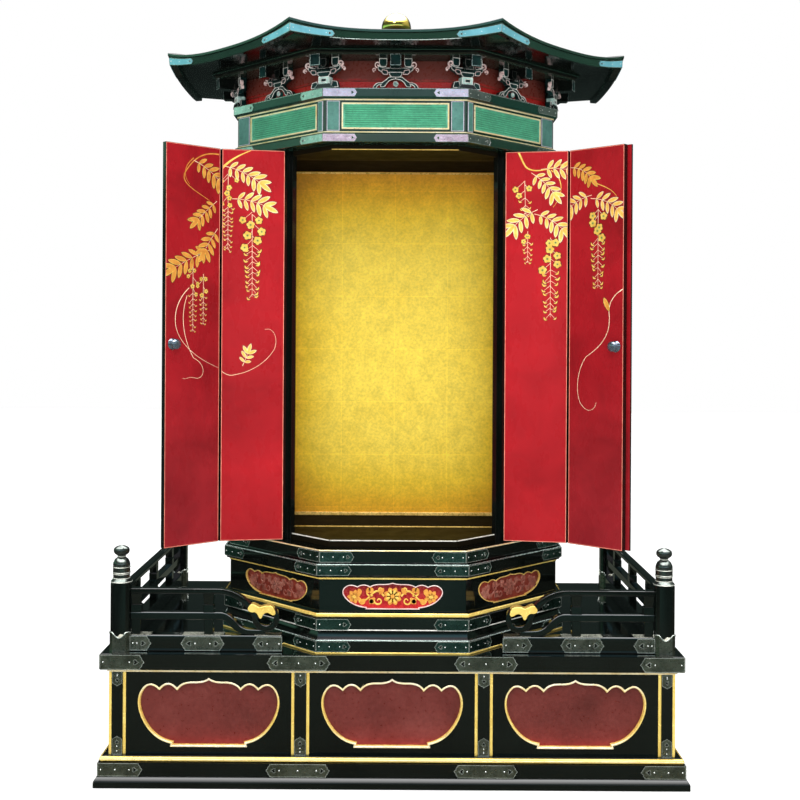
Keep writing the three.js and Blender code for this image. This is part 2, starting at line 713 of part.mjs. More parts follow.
// Points round the whole octagon, swept up towards each corner by a height that heightAt gives.
function eaveRing(apothem, heightAt) {
  const half = apothem * TAN;
  const ring = [];
  for (let turn = 0; turn < 8; turn += 1) {
    const c = Math.cos(turn * EIGHTH);
    const s = Math.sin(turn * EIGHTH);
    for (let i = 0; i < FACE_STEPS; i += 1) {
      const t = -1 + 2 * i / FACE_STEPS;
      const sweep = Math.abs(t) ** EAVE.power;
      ring.push([c * t * half + s * apothem, PLAN_Y + s * t * half - c * apothem, heightAt(sweep)]);
    }
  }
  return ring;
}

function buildRoof() {
  const { top, bottom, sweepTop, sweepBottom, lean } = EAVE;
  const rings = [
    eaveRing(R.ceiling, () => Z.soffit),
    eaveRing(R.soffitBack, () => Z.soffit + 5),
    eaveRing(R.eave - 16, (s) => bottom + 5 + sweepBottom * s),
    eaveRing(R.eave - 15, (s) => bottom + 0.6 + sweepBottom * s),
    eaveRing(R.eave - lean, (s) => bottom + sweepBottom * s),
    eaveRing(R.eave, (s) => top + sweepTop * s),
  ];
  const slopeSteps = 4;
  for (let i = 1; i <= slopeSteps; i += 1) {
    const t = i / slopeSteps;
    const apothem = R.eave + (APEX_R - R.eave) * t;
    const rise = (Z.roofApex - top) * (0.4 * t + 0.6 * t * t);
    rings.push(eaveRing(apothem, (s) => top + rise + sweepTop * s * (1 - t) ** 2));
  }
  const behind = box(-500, 500, ROOF_BACK, 500, Z.soffit - 10, Z.roofApex + 10);
  addPart('roof', carve([loft(rings)], [behind]), lacquer);

  const jewel = [[0, 0], [27, 0], [27, 4], [19, 7], [26, 13], [30, 20], [30, 26], [27.5, 37], [22.5, 45.5],
    [14, 52], [0, 58]];
  const finial = new THREE.LatheGeometry(jewel.map(([r, z]) => new THREE.Vector2(r, z)), 12);
  finial.rotateX(Math.PI / 2).translate(0, PLAN_Y, Z.roofApex);
  addPart('roof_finial', finial, goldLeaf);
}

buildBase();
buildBalustrade();
buildPedestal();
buildCabinet();
buildDoors();
buildFrieze();
buildBrackets();
buildRoof();

export default shrine;
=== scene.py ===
"""The looks of a lacquered altar shrine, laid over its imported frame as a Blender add-on.

Sizes in this file are millimetres and become metres in the mesh helpers.
"""
import random
from math import atan2, copysign, cos, hypot, pi, radians, sin, tan

import bmesh
import bpy
from mathutils import Matrix, Vector


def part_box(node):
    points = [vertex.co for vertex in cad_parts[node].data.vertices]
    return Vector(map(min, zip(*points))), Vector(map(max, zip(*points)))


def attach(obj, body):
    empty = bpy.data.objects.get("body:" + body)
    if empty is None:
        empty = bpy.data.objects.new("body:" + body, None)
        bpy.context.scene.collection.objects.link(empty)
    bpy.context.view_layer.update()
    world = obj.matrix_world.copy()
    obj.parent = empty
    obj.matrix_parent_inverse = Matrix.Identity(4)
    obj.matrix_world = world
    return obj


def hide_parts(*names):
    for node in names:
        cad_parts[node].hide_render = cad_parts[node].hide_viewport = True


bl_info = {
    "name": "Altar Shrine Dresser",
    "version": (1, 0, 0),
    "blender": (4, 5, 0),
    "location": "View3D > Sidebar > Shrine",
    "description": "Dresses the packed frame of a lacquered altar shrine",
    "category": "Object",
}

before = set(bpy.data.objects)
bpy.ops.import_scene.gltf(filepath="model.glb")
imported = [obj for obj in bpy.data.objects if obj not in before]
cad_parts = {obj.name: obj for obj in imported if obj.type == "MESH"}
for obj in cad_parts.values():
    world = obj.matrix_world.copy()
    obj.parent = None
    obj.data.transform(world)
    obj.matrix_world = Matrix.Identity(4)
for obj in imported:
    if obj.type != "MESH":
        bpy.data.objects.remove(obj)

MM = 0.001
EIGHTH = pi / 4
TAN = tan(pi / 8)
ROOT = "root"
MITRE_LIMIT = 2.2  # how far an outline's sharp corner may run out when it grows


def reach_of(node):
    """The lowest and highest corners of a CAD node, in millimetres."""
    low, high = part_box(node)
    return [v / MM for v in low], [v / MM for v in high]


def size_of(setting):
    """A size from the panel, in millimetres."""
    return getattr(bpy.context.scene.shrine_sizes, setting) * 1000


def apothem_of(node):
    """How far the octagon's side face stands from the middle plane at this node."""
    return reach_of(node)[1][0]


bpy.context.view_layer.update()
SLAB_LOW, SLAB_HIGH = reach_of("base_slab")
BOARD_LOW, BOARD_HIGH = reach_of("base_front_board")
PLAN_Y = reach_of("pedestal_foot")[0][1] + apothem_of("pedestal_foot")
WALL_X = BOARD_HIGH[0]
WALL_Y = reach_of("base_back_board")[1][1]
PEDESTAL_BACK = reach_of("pedestal_foot")[1][1]
ROOF_BACK = reach_of("roof")[1][1]


# ---- placing and finishing


def deselect():
    """Object mode with nothing selected."""
    if bpy.context.object and bpy.context.object.mode != "OBJECT":
        bpy.ops.object.mode_set(mode="OBJECT")
    bpy.ops.object.select_all(action="DESELECT")


def choose(*pieces):
    """Selects these pieces alone, the first one active."""
    deselect()
    for piece in pieces:
        piece.select_set(True)
    bpy.context.view_layer.objects.active = pieces[0]


def edit(piece, select=True):
    """Opens a piece for editing with all of it, or none of it, selected."""
    choose(piece)
    bpy.ops.object.mode_set(mode="EDIT")
    bpy.ops.mesh.select_mode(type="FACE")
    bpy.ops.mesh.select_all(action="SELECT" if select else "DESELECT")


def close():
    bpy.ops.object.mode_set(mode="OBJECT")


def ease_edges(piece, width, segments=2):
    """Rounds the sharp edges by a width and smooths what is left, so that flat faces stay flat."""
    choose(piece)
    if width:
        bevel = piece.modifiers.new("eased", "BEVEL")
        bevel.width = width * MM
        bevel.segments = segments
        bevel.limit_method = "ANGLE"
        bevel.angle_limit = radians(30)
        bpy.ops.object.modifier_apply(modifier=bevel.name)
    bpy.ops.object.shade_smooth_by_angle(angle=radians(14))
    return piece


def paint(piece, finish):
    """Gives a piece one finish all over, by its name or as a material."""
    piece.data.materials.clear()
    piece.data.materials.append(finish_of(finish) if isinstance(finish, str) else finish)
    return piece


def settle(piece, name, body=ROOT, stands_for=()):
    """Names a finished piece and hands it to its body."""
    choose(piece)
    bpy.ops.object.transform_apply(location=True, rotation=True, scale=True)
    piece.name = name
    piece.data.name = name
    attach(piece, body)
    if stands_for:
        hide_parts(*stands_for)
    return piece


def joined(pieces):
    """Several pieces made one, with their materials kept."""
    choose(*pieces)
    if len(pieces) > 1:
        bpy.ops.object.join()
    return bpy.context.object


def copied(master, places, keep=False):
    """A copy of one piece at each place, gathered in one object. The master goes unless it is kept."""
    gather = bmesh.new()
    for place in places:
        one = master.data.copy()
        one.transform(place)
        if place.determinant() < 0:
            one.flip_normals()
        gather.from_mesh(one)
        bpy.data.meshes.remove(one)
    mesh = bpy.data.meshes.new(master.name)
    for material in master.data.materials:
        mesh.materials.append(material)
    gather.to_mesh(mesh)
    gather.free()
    piece = linked(master.name, mesh)
    if not keep:
        drop(master)
    return piece


def drop(piece):
    bpy.data.objects.remove(piece)


def linked(name, data):
    """A new object in the scene with this mesh, curve, light or camera."""
    piece = bpy.data.objects.new(name, data)
    bpy.context.scene.collection.objects.link(piece)
    return piece


def shift(x=0.0, y=0.0, z=0.0):
    """A move in millimetres."""
    return Matrix.Translation((x * MM, y * MM, z * MM))


def turn(angle, axis="Z"):
    return Matrix.Rotation(angle, 4, axis)


MIRROR = Matrix.Scale(-1, 4, (1, 0, 0))


def on_face(side, apothem, along=0.0, z=0.0):
    """A place on one of the octagon's faces: 0 is the front, 1 its right, 0.5 the corner between."""
    return shift(0, PLAN_Y) @ turn(side * EIGHTH) @ shift(along, -apothem, z)


def on_base(side, along=0.0, out=0.0, z=0.0):
    """A place on the base's rectangle: 0 is its front, -1 and 1 its flanks, out from the wall line."""
    wall = WALL_X if side else WALL_Y
    return turn(side * pi / 2) @ shift(along, -wall - out, z)


def corner_places(apothem, reach=0.0, z=0.0):
    """Places beside the octagon's four front corners, mirrored where they run to the left."""
    places = []
    for side in (-2, -1, 0, 1, 2):
        if side != -2:
            places.append(on_face(side, apothem, -reach, z))
        if side != 2:
            places.append(on_face(side, apothem, reach, z) @ MIRROR)
    return places


# ---- shaping


def extruded(piece, move):
    """Extrudes the whole of a flat piece by a move in millimetres and closes it as a solid."""
    edit(piece)
    bpy.ops.mesh.extrude_region_move(TRANSFORM_OT_translate={"value": [c * MM for c in move]})
    face_out()


def face_out():
    """Turns the open piece's faces outwards and closes it."""
    bpy.ops.mesh.select_all(action="SELECT")
    bpy.ops.mesh.normals_make_consistent(inside=False)
    close()


def outlined_circle(points, fill):
    """A circle whose points are moved to places given in millimetres."""
    deselect()
    bpy.ops.mesh.primitive_circle_add(vertices=max(3, len(points)), radius=0.01, fill_type=fill)
    piece = bpy.context.object
    for vertex, place in zip(piece.data.vertices, points):
        vertex.co = [c * MM for c in place]
    return piece


def raised(points, move, bevel, segments):
    """A flat face through its points, extruded by a move and eased."""
    piece = outlined_circle(points, "NGON")
    extruded(piece, move)
    return ease_edges(piece, bevel, segments)


def plate(outline, depth, bevel=0.4, segments=2, back=0.0):
    """A flat piece with an outline in X and Z. Its back is at Y = back and its face in front of it."""
    return raised([(x, back, z) for x, z in outline], (0, -depth, 0), bevel, segments)


def slab(outline, z0, z1, bevel):
    """A flat piece with a plan outline in X and Y, raised from z0 to z1."""
    return raised([(x, y, z0) for x, y in outline], (0, 0, z1 - z0), bevel, 2)


def band(outline, inner, depth, bevel=0.5, segments=2, back=0.0):
    """A closed strip between two outlines of equal count, as plate() lays them."""
    count = len(outline)
    piece = outlined_circle([(x, back, z) for x, z in outline], "NOTHING")
    edit(piece)
    bpy.ops.mesh.select_mode(type="EDGE")
    bpy.ops.mesh.select_all(action="SELECT")
    bpy.ops.mesh.extrude_edges_move()
    close()
    near = {}
    for i in range(count):
        near[tuple(round(c, 6) for c in piece.data.vertices[i].co)] = i
    for vertex in list(piece.data.vertices)[count:]:
        x, z = inner[near[tuple(round(c, 6) for c in vertex.co)]]
        vertex.co = (x * MM, back * MM, z * MM)
    extruded(piece, (0, -depth, 0))
    return ease_edges(piece, bevel, segments)


def block(size, centre=(0, 0, 0), bevel=0.8, segments=2, taper=1.0):
    """A squared block with eased edges. A taper other than 1 narrows or widens its foot."""
    deselect()
    place = [c * MM for c in centre]
    bpy.ops.mesh.primitive_cube_add(size=1, location=place, scale=[s * MM for s in size])
    piece = bpy.context.object
    bpy.ops.object.transform_apply(location=True, rotation=True, scale=True)
    if taper != 1.0:
        edit(piece, select=False)
        close()
        for face in piece.data.polygons:
            face.select = face.normal.z < -0.5
        edit_selected(piece)
        foot = (place[0], place[1], place[2] - size[2] * MM / 2)
        bpy.ops.transform.resize(value=(taper, taper, 1), center_override=foot)
        close()
    return ease_edges(piece, bevel, segments)


def edit_selected(piece):
    """Opens a piece for editing with its selection as it is."""
    choose(piece)
    bpy.ops.object.mode_set(mode="EDIT")


def bar(x0, x1, y0, y1, z0, z1, bevel=0.8, segments=2):
    """A squared block between two corners."""
    size = (x1 - x0, y1 - y0, z1 - z0)
    return block(size, ((x0 + x1) / 2, (y0 + y1) / 2, (z0 + z1) / 2), bevel, segments)


def turned(profile, steps=40, smooth=40):
    """A turned piece: its profile of (radius, height) spun about Z, its poles closed."""
    piece = outlined_circle([(r, 0, z) for r, z in profile], "NOTHING")
    last = len(profile) - 1
    edit_selected(piece)
    bpy.ops.mesh.select_mode(type="EDGE")
    close()
    for edge in piece.data.edges:
        edge.select = set(edge.vertices) == {0, last}
    bpy.ops.object.mode_set(mode="EDIT")
    bpy.ops.mesh.delete(type="EDGE_FACE")
    bpy.ops.mesh.select_all(action="SELECT")
    bpy.ops.mesh.spin(steps=steps, angle=2 * pi, center=(0, 0, 0), axis=(0, 0, 1))
    bpy.ops.mesh.select_all(action="SELECT")
    bpy.ops.mesh.remove_doubles(threshold=1e-6)
    face_out()
    bpy.ops.object.shade_smooth_by_angle(angle=radians(smooth))
    return piece


def rod(points, radius, cyclic=False):
    """A round wire or bead along points given in millimetres."""
    curve = bpy.data.curves.new("rod", "CURVE")
    curve.dimensions = "3D"
    curve.bevel_depth = radius * MM
    curve.bevel_resolution = 2
    curve.use_fill_caps = True
    spline = curve.splines.new("POLY")
    spline.points.add(len(points) - 1)
    for point, place in zip(spline.points, points):
        point.co = (*[c * MM for c in place], 1)
    spline.use_cyclic_u = cyclic
    choose(linked("rod", curve))
    bpy.ops.object.convert(target="MESH")
    bpy.ops.object.shade_smooth_by_angle(angle=radians(50))
    return bpy.context.object


def lofted(rings):
    """A closed skin over rings of points of equal count, in millimetres, its ends filled."""
    skin = bmesh.new()
    rows = [[skin.verts.new([c * MM for c in point]) for point in ring] for ring in rings]
    for below, above in zip(rows, rows[1:]):
        for i, vertex in enumerate(below):
            j = (i + 1) % len(below)
            skin.faces.new((vertex, below[j], above[j], above[i]))
    skin.faces.new(list(reversed(rows[0])))
    skin.faces.new(rows[-1])
    bmesh.ops.recalc_face_normals(skin, faces=skin.faces)
    mesh = bpy.data.meshes.new("lofted")
    skin.to_mesh(mesh)
    skin.free()
    return linked("lofted", mesh)


def cropped(piece, place, normal):
    """Cuts off what lies past a plane, given in millimetres, and fills the cut."""
    edit(piece)
    bpy.ops.mesh.bisect(plane_co=[c * MM for c in place], plane_no=normal, use_fill=True, clear_outer=True)
    close()


def pierced(piece, cutter):
    """Cuts one piece out of another."""
    choose(piece)
    hole = piece.modifiers.new("hole", "BOOLEAN")
    hole.operation = "DIFFERENCE"
    hole.object = cutter
    bpy.ops.object.modifier_apply(modifier=hole.name)
    drop(cutter)
    return piece


def fine_copy(node, edge, segments=2):
    """A copy of a CAD board with its edges eased as a lacquerer would leave them."""
    piece = linked(node + "_finished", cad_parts[node].data.copy())
    edit(piece)
    bpy.ops.mesh.remove_doubles(threshold=1e-5)
    bpy.ops.mesh.dissolve_limited(angle_limit=radians(0.5))
    close()
    return ease_edges(piece, edge, segments)


def lacquered(node, edge, finish="black", segments=2):
    """Puts an eased and lacquered copy in a CAD board's place."""
    settle(paint(fine_copy(node, edge, segments), finish), node + "_lacquer", stands_for=[node])


# ---- outlines


def curve(start, control, end, steps):
    """Points on a quadratic curve, without its start."""
    return [tuple(a * (1 - t) ** 2 + 2 * b * t * (1 - t) + c * t * t for a, b, c in zip(start, control, end))
            for t in (i / steps for i in range(1, steps + 1))]


def bezier(a, b, c, d, steps):
    """Points on a cubic curve, with its start."""
    points = []
    for i in range(steps + 1):
        t = i / steps
        u = 1 - t
        points.append(tuple(p * u ** 3 + 3 * q * u * u * t + 3 * r * u * t * t + s * t ** 3
                            for p, q, r, s in zip(a, b, c, d)))
    return points


def mirrored(points):
    """A half outline from the bottom round to the top, completed by its mirror in X."""
    return points + [(-x, z) for x, z in reversed(points) if x > 1e-6]


def circle(radius, count, x=0.0, z=0.0):
    """Points evenly spaced round a circle."""
    angles = [i / (count / 2) * pi for i in range(count)]
    return [(x + radius * cos(a), z + radius * sin(a)) for a in angles]


def rect(x0, x1, z0, z1):
    return [(x0, z0), (x1, z0), (x1, z1), (x0, z1)]


def kozama(width, height, z=0.0, steps=8):
    """The cusped opening: an ogee arch between small lobes, over a bowl."""
    half = [((0.8, 0.1), (0.94, 0.42)), ((1.03, 0.64), (0.96, 0.8)), ((0.86, 1.0), (0.7, 0.845)),
            ((0.58, 1.0), (0.45, 0.845)), ((0.38, 0.95), (0.22, 0.945)), ((0.06, 0.94), (0.0, 1.0))]
    points = [(0.265, 0.0), (0.53, 0.0), (0.52, 0.045)]
    for control, end in half:
        points += curve(points[-1], control, end, steps)
    return mirrored([(u * width / 2, z + v * height) for u, v in points])


def grown(outline, amount):
    """An outline moved outwards by an amount, or inwards by a negative one."""
    count = len(outline)
    area = sum(outline[i - 1][0] * outline[i][1] - outline[i][0] * outline[i - 1][1] for i in range(count))
    way = 1 if area > 0 else -1
    moved = []
    for i in range(count):
        a, b, c = (Vector(outline[j % count]) for j in (i - 1, i, i + 1))
        n1 = Vector(((b - a).y, -(b - a).x)).normalized()
        n2 = Vector(((c - b).y, -(c - b).x)).normalized()
        mid = n1 + n2
        if mid.length < 1e-6:
            mid = n1
        mid.normalize()
        far = min(MITRE_LIMIT, 1 / max(0.2, mid.dot(n1)))
        moved.append(tuple(b + mid * far * amount * way))
    return moved


def ribbon(points, width_at):
    """The outline of a strip along a centre line, with a width that may change on the way."""
    upper, lower = [], []
    for i, (x, z) in enumerate(points):
        ax, az = points[max(i - 1, 0)]
        bx, bz = points[min(i + 1, len(points) - 1)]
        length = hypot(bx - ax, bz - az)
        half = width_at(i / (len(points) - 1)) / 2
        upper.append((x - (bz - az) / length * half, z + (bx - ax) / length * half))
        lower.insert(0, (x + (bz - az) / length * half, z - (bx - ax) / length * half))
    return upper + lower


def plan(apothem, back=PEDESTAL_BACK):
    """The octagon's plan outline, cut off flat at its back."""
    half = apothem * TAN
    return [(-half, PLAN_Y - apothem), (half, PLAN_Y - apothem), (apothem, PLAN_Y - half), (apothem, back),
            (-apothem, back), (-apothem, PLAN_Y - half)]
# ---- finishes


def feed(tree, socket, value):
    """Links a socket to another one, or gives it a number or a colour."""
    if isinstance(value, bpy.types.NodeSocket):
        tree.links.new(value, socket)
    elif isinstance(value, tuple) and len(value) == 3 and len(socket.default_value) == 4:
        socket.default_value = (*value, 1)
    else:
        socket.default_value = value


def add_node(tree, kind, **values):
    """A new node with values for its inputs, whose names are written with _ for a space."""
    made = tree.nodes.new("ShaderNode" + kind)
    for name, value in values.items():
        feed(tree, made.inputs[name.replace("_", " ")], value)
    return made


def blend_colors(tree, factor, first, second, mode="MULTIPLY"):
    """Two colours mixed: each is a colour or a socket."""
    node = tree.nodes.new("ShaderNodeMix")
    node.data_type = "RGBA"
    node.blend_type = mode
    for place, value in (("Factor", factor), (6, first), (7, second)):
        feed(tree, node.inputs[place], value)
    return node.outputs[2]


def sums(tree, operation, first, second=0.5, clamp=False):
    node = tree.nodes.new("ShaderNodeMath")
    node.operation = operation
    node.use_clamp = clamp
    feed(tree, node.inputs[0], first)
    feed(tree, node.inputs[1], second)
    return node.outputs[0]


def wavered(tree, base, source, amount):
    """A value with a little of a noise added, which is even about nothing."""
    return sums(tree, "ADD", base, sums(tree, "MULTIPLY", sums(tree, "SUBTRACT", source, 0.5), amount))


def mixed(color):
    """Three numbers for a colour, a grey as one number, or a colour of the panel's with its brightness."""
    if not isinstance(color, tuple):
        return (color, color, color)
    if isinstance(color[0], str):
        setting = getattr(bpy.context.scene.shrine_colors, color[0])
        return tuple(min(1.0, c * color[1]) for c in setting)
    return color


def ramp(tree, source, *stops):
    """A colour ramp: each stop is a place and a colour."""
    node = tree.nodes.new("ShaderNodeValToRGB")
    while len(node.color_ramp.elements) < len(stops):
        node.color_ramp.elements.new(0.5)
    for element, (place, color) in zip(node.color_ramp.elements, stops):
        element.position = place
        element.color = (*mixed(color), 1)
    tree.links.new(source, node.inputs[0])
    return node.outputs[0]


def coordinates(tree, scale=(1, 1, 1)):
    place = tree.nodes.new("ShaderNodeTexCoord").outputs["Object"]
    return add_node(tree, "Mapping", Vector=place, Scale=scale).outputs[0]


def split(tree, vector):
    """The X, Y and Z of a vector."""
    return add_node(tree, "SeparateXYZ", Vector=vector).outputs


def noise(tree, vector, scale, detail=4.0, roughness=0.55, distortion=0.0):
    return add_node(tree, "TexNoise", Vector=vector, Scale=scale, Detail=detail, Roughness=roughness,
                    Distortion=distortion).outputs["Fac"]


def finish_material(name, metallic=0.0, specular=0.5, coat=0.0, coat_roughness=0.05):
    """A new material with its all-over constants on the shader's own sockets."""
    material = bpy.data.materials.new(name)
    material.use_nodes = True
    tree = material.node_tree
    shader = tree.nodes["Principled BSDF"]
    for socket, value in (("Metallic", metallic), ("Specular IOR Level", specular), ("IOR", 1.5),
                          ("Coat Weight", coat), ("Coat Roughness", coat_roughness)):
        shader.inputs[socket].default_value = value
    return material, tree, shader


def relief(tree, shader, height, strength=0.3, distance=0.001):
    bump = add_node(tree, "Bump", Strength=strength, Distance=distance, Height=height)
    tree.links.new(bump.outputs[0], shader.inputs["Normal"])


def roughen(tree, shader, source, low, high):
    tree.links.new(ramp(tree, source, (0.3, low), (0.7, high)), shader.inputs["Roughness"])


def colored(tree, shader, color, heights=()):
    """The shader's colour, tinted by height: each of the heights is in millimetres and has a tint."""
    if heights:
        z0, span = heights[0][0], heights[-1][0] - heights[0][0]
        share = sums(tree, "DIVIDE", sums(tree, "SUBTRACT", split(tree, coordinates(tree))[2], z0 * MM), span * MM)
        tint = ramp(tree, share, *[((z - z0) / span, tone) for z, tone in heights])
        color = blend_colors(tree, 1.0, color, tint)
    tree.links.new(color, shader.inputs["Base Color"])


def lacquer(name, deep, lit, rough=(0.05, 0.13), specular=0.45, cloud=5.0, coat=0.2, heights=()):
    """Polished urushi: a deep colour with faint clouds, hand-rubbed marks and a soft orange-peel."""
    material, tree, shader = finish_material(name, specular=specular, coat=coat, coat_roughness=0.04)
    where = coordinates(tree)
    color = ramp(tree, noise(tree, where, cloud, 5, 0.6, 0.4), (0.3, deep), (0.72, lit))
    colored(tree, shader, color, heights)
    roughen(tree, shader, noise(tree, coordinates(tree, (12, 12, 5)), 3.0, 4, 0.6), *rough)
    relief(tree, shader, noise(tree, where, 55, 2), 0.05, 0.0006)
    return material


def mottled(name, dark, middle, light, scale=26.0, rough=(0.25, 0.5), speck=0.72, heights=()):
    """A painted ground with mottling at two scales and a grain in its relief."""
    material, tree, shader = finish_material(name, specular=0.35)
    where = coordinates(tree)
    body = ramp(tree, noise(tree, where, scale, 6, 0.62, 0.3), (0.3, dark), (0.5, middle), (0.75, light))
    fine = noise(tree, where, 160, 4, 0.6)
    specks = ramp(tree, fine, (0.4, speck), (0.7, 1.15))
    colored(tree, shader, blend_colors(tree, 1.0, body, specks), heights)
    roughen(tree, shader, fine, *rough)
    relief(tree, shader, fine, 0.25, 0.0006)
    return material


def metal(name, dark, light, rough=(0.18, 0.4), metallic=1.0, scale=40.0, stipple=0.0, heights=()):
    """Worked metal: tarnish in clouds, finer wear, and a stippled ground where it is punched."""
    material, tree, shader = finish_material(name, metallic=metallic)
    where = coordinates(tree)
    color = ramp(tree, noise(tree, where, scale, 6, 0.65, 0.2), (0.32, dark), (0.68, light))
    wear = noise(tree, where, scale * 7, 4)
    roughen(tree, shader, wear, *rough)
    if stipple:
        dots = add_node(tree, "TexVoronoi", Vector=where, Scale=stipple, Randomness=0.35).outputs["Distance"]
        rings = ramp(tree, dots, (0.0, 0.25), (0.32, 1.0), (0.5, 0.75))
        color = blend_colors(tree, 0.55, color, rings)
        relief(tree, shader, sums(tree, "MULTIPLY", dots, -1.0), 0.45, 0.0006)
    else:
        relief(tree, shader, wear, 0.12, 0.0005)
    colored(tree, shader, color, heights)
    return material


def leafed_wall(name):
    """Gold leaf in overlapping squares, with a painted pool of light bright in the middle and painted shade brown
    towards its edges.
    """
    material, tree, shader = finish_material(name, metallic=0.35, specular=0.4, coat=0.1)
    low, high = reach_of("gold_back_panel")
    where = coordinates(tree)
    x, _, z = split(tree, where)
    middle = (low[2] + high[2]) / 2 * MM - 0.012
    # Painted light and shade: the colour runs from a bright pool in the middle to a shaded brown towards the edges.
    far = []
    for value, centre, reach, power in ((x, 0.012, 0.276, 4.5), (z, middle, 0.367, 5.0)):
        away = sums(tree, "ABSOLUTE", sums(tree, "SUBTRACT", value, centre))
        far.append(sums(tree, "POWER", sums(tree, "DIVIDE", away, reach), power))
    far = wavered(tree, sums(tree, "ADD", *far), noise(tree, where, 9, 6, 0.6), 0.30)
    color = ramp(tree, far, (0.0, (1.0, 0.74, 0.095)), (0.22, (0.97, 0.65, 0.045)), (0.45, (0.90, 0.51, 0.028)),
                 (0.72, (0.86, 0.43, 0.028)), (1.0, (0.70, 0.33, 0.032)))
    flecks = noise(tree, where, 190, 5, 0.7)
    color = blend_colors(tree, 1.0, color, ramp(tree, flecks, (0.3, 0.80), (0.62, 1.08)))
    patches = noise(tree, where, 34, 5, 0.6, 0.5)
    color = blend_colors(tree, 1.0, color, ramp(tree, patches, (0.3, 0.86), (0.7, 1.07)))
    flat = add_node(tree, "CombineXYZ", X=x, Y=z).outputs[0]
    squares = add_node(tree, "TexBrick", Vector=flat, Scale=1.0, Brick_Width=0.109, Row_Height=0.109,
                       Mortar_Size=0.0012, Mortar_Smooth=0.4, Color1=(1.0, 1.0, 1.0),
                       Color2=(0.955, 0.945, 0.93), Mortar=(1.12, 1.1, 1.02))
    squares.offset = 0.0
    colored(tree, shader, blend_colors(tree, 0.75, color, squares.outputs["Color"]))
    roughen(tree, shader, flecks, 0.34, 0.55)
    relief(tree, shader, flecks, 0.10, 0.0004)
    return material


def red_under_painted_shade(name):
    """The red board behind the brackets: bright at its foot and darker above, painted shade under the eave and
    among the brackets.
    """
    material, tree, shader = finish_material(name, specular=0.3)
    where = coordinates(tree)
    foot = reach_of("bracket_ground_board")[0][2] * MM
    # Painted shade: the red darkens with height towards the ceiling.
    high = sums(tree, "DIVIDE", sums(tree, "SUBTRACT", split(tree, where)[2], foot), 0.056)
    shade = wavered(tree, high, noise(tree, where, 40, 5, 0.6), 0.35)
    colored(tree, shader, ramp(tree, shade, (0.0, (0.42, 0.012, 0.010)), (0.28, (0.34, 0.012, 0.010)),
                               (0.40, (0.125, 0.024, 0.017)), (1.0, (0.080, 0.022, 0.016))))
    fine = noise(tree, where, 200, 4)
    roughen(tree, shader, fine, 0.22, 0.4)
    relief(tree, shader, fine, 0.15, 0.0005)
    return material


# A named colour is one of the panel's settings with its brightness, and a row's tints go by height.

# Material, two colours, roughness, specular level, cloud size, coat, tints
LACQUERS = {
    "black": ("black_lacquer", ("black", 0.6), ("black", 1.6)),
    "black_inside": ("black_lacquer_inside", (0.006, 0.005, 0.003), (0.016, 0.012, 0.007), (0.4, 0.5), 0.001, 5.0,
        0.0),
    "black_sill": ("black_lacquer_sill", (0.003, 0.003, 0.002), (0.009, 0.007, 0.004), (0.3, 0.42), 0.006, 5.0,
        0.0),
    # beam and fascia: a green tint in the black's body colour, a painted green sheen of reflection.
    "beam": ("beam_lacquer", (0.003, 0.018, 0.013), (0.006, 0.034, 0.023), (0.12, 0.22)),
    "fascia": ("fascia_lacquer", (0.006, 0.02, 0.013), (0.01, 0.033, 0.021), (0.08, 0.18)),
    "roof": ("roof_lacquer", ("black", 0.5), ("black", 1.4), (0.07, 0.16), 0.22, 5.0, 0.0),
    "ceiling": ("ceiling_lacquer", (0.008, 0.01, 0.007), (0.016, 0.018, 0.013), (0.04, 0.1), 0.2, 5.0, 0.0),
    "door_red": ("door_red_lacquer", ("red", 0.72), ("red", 1.15), (0.24, 0.32), 0.12, 7.0, 0.0,
        ((420, (1.06, 1.2, 1.1)), (620, 1.0), (1120, (1.1, 1.0, 1.0)))),
    # outer_door_red: a darker copy of the red, painted shade on the more turned outer leaves, and greyer towards
    # their foot.
    "outer_door_red": ("outer_door_red_lacquer", ("red", 0.58), ("red", 1.05), (0.22, 0.34), 0.12, 8.0, 0.0,
        ((420, (0.92, 2.0, 1.7)), (560, (0.96, 1.8, 1.5)), (720, (1.0, 1.1, 1.1)), (1120, 1.05))),
}

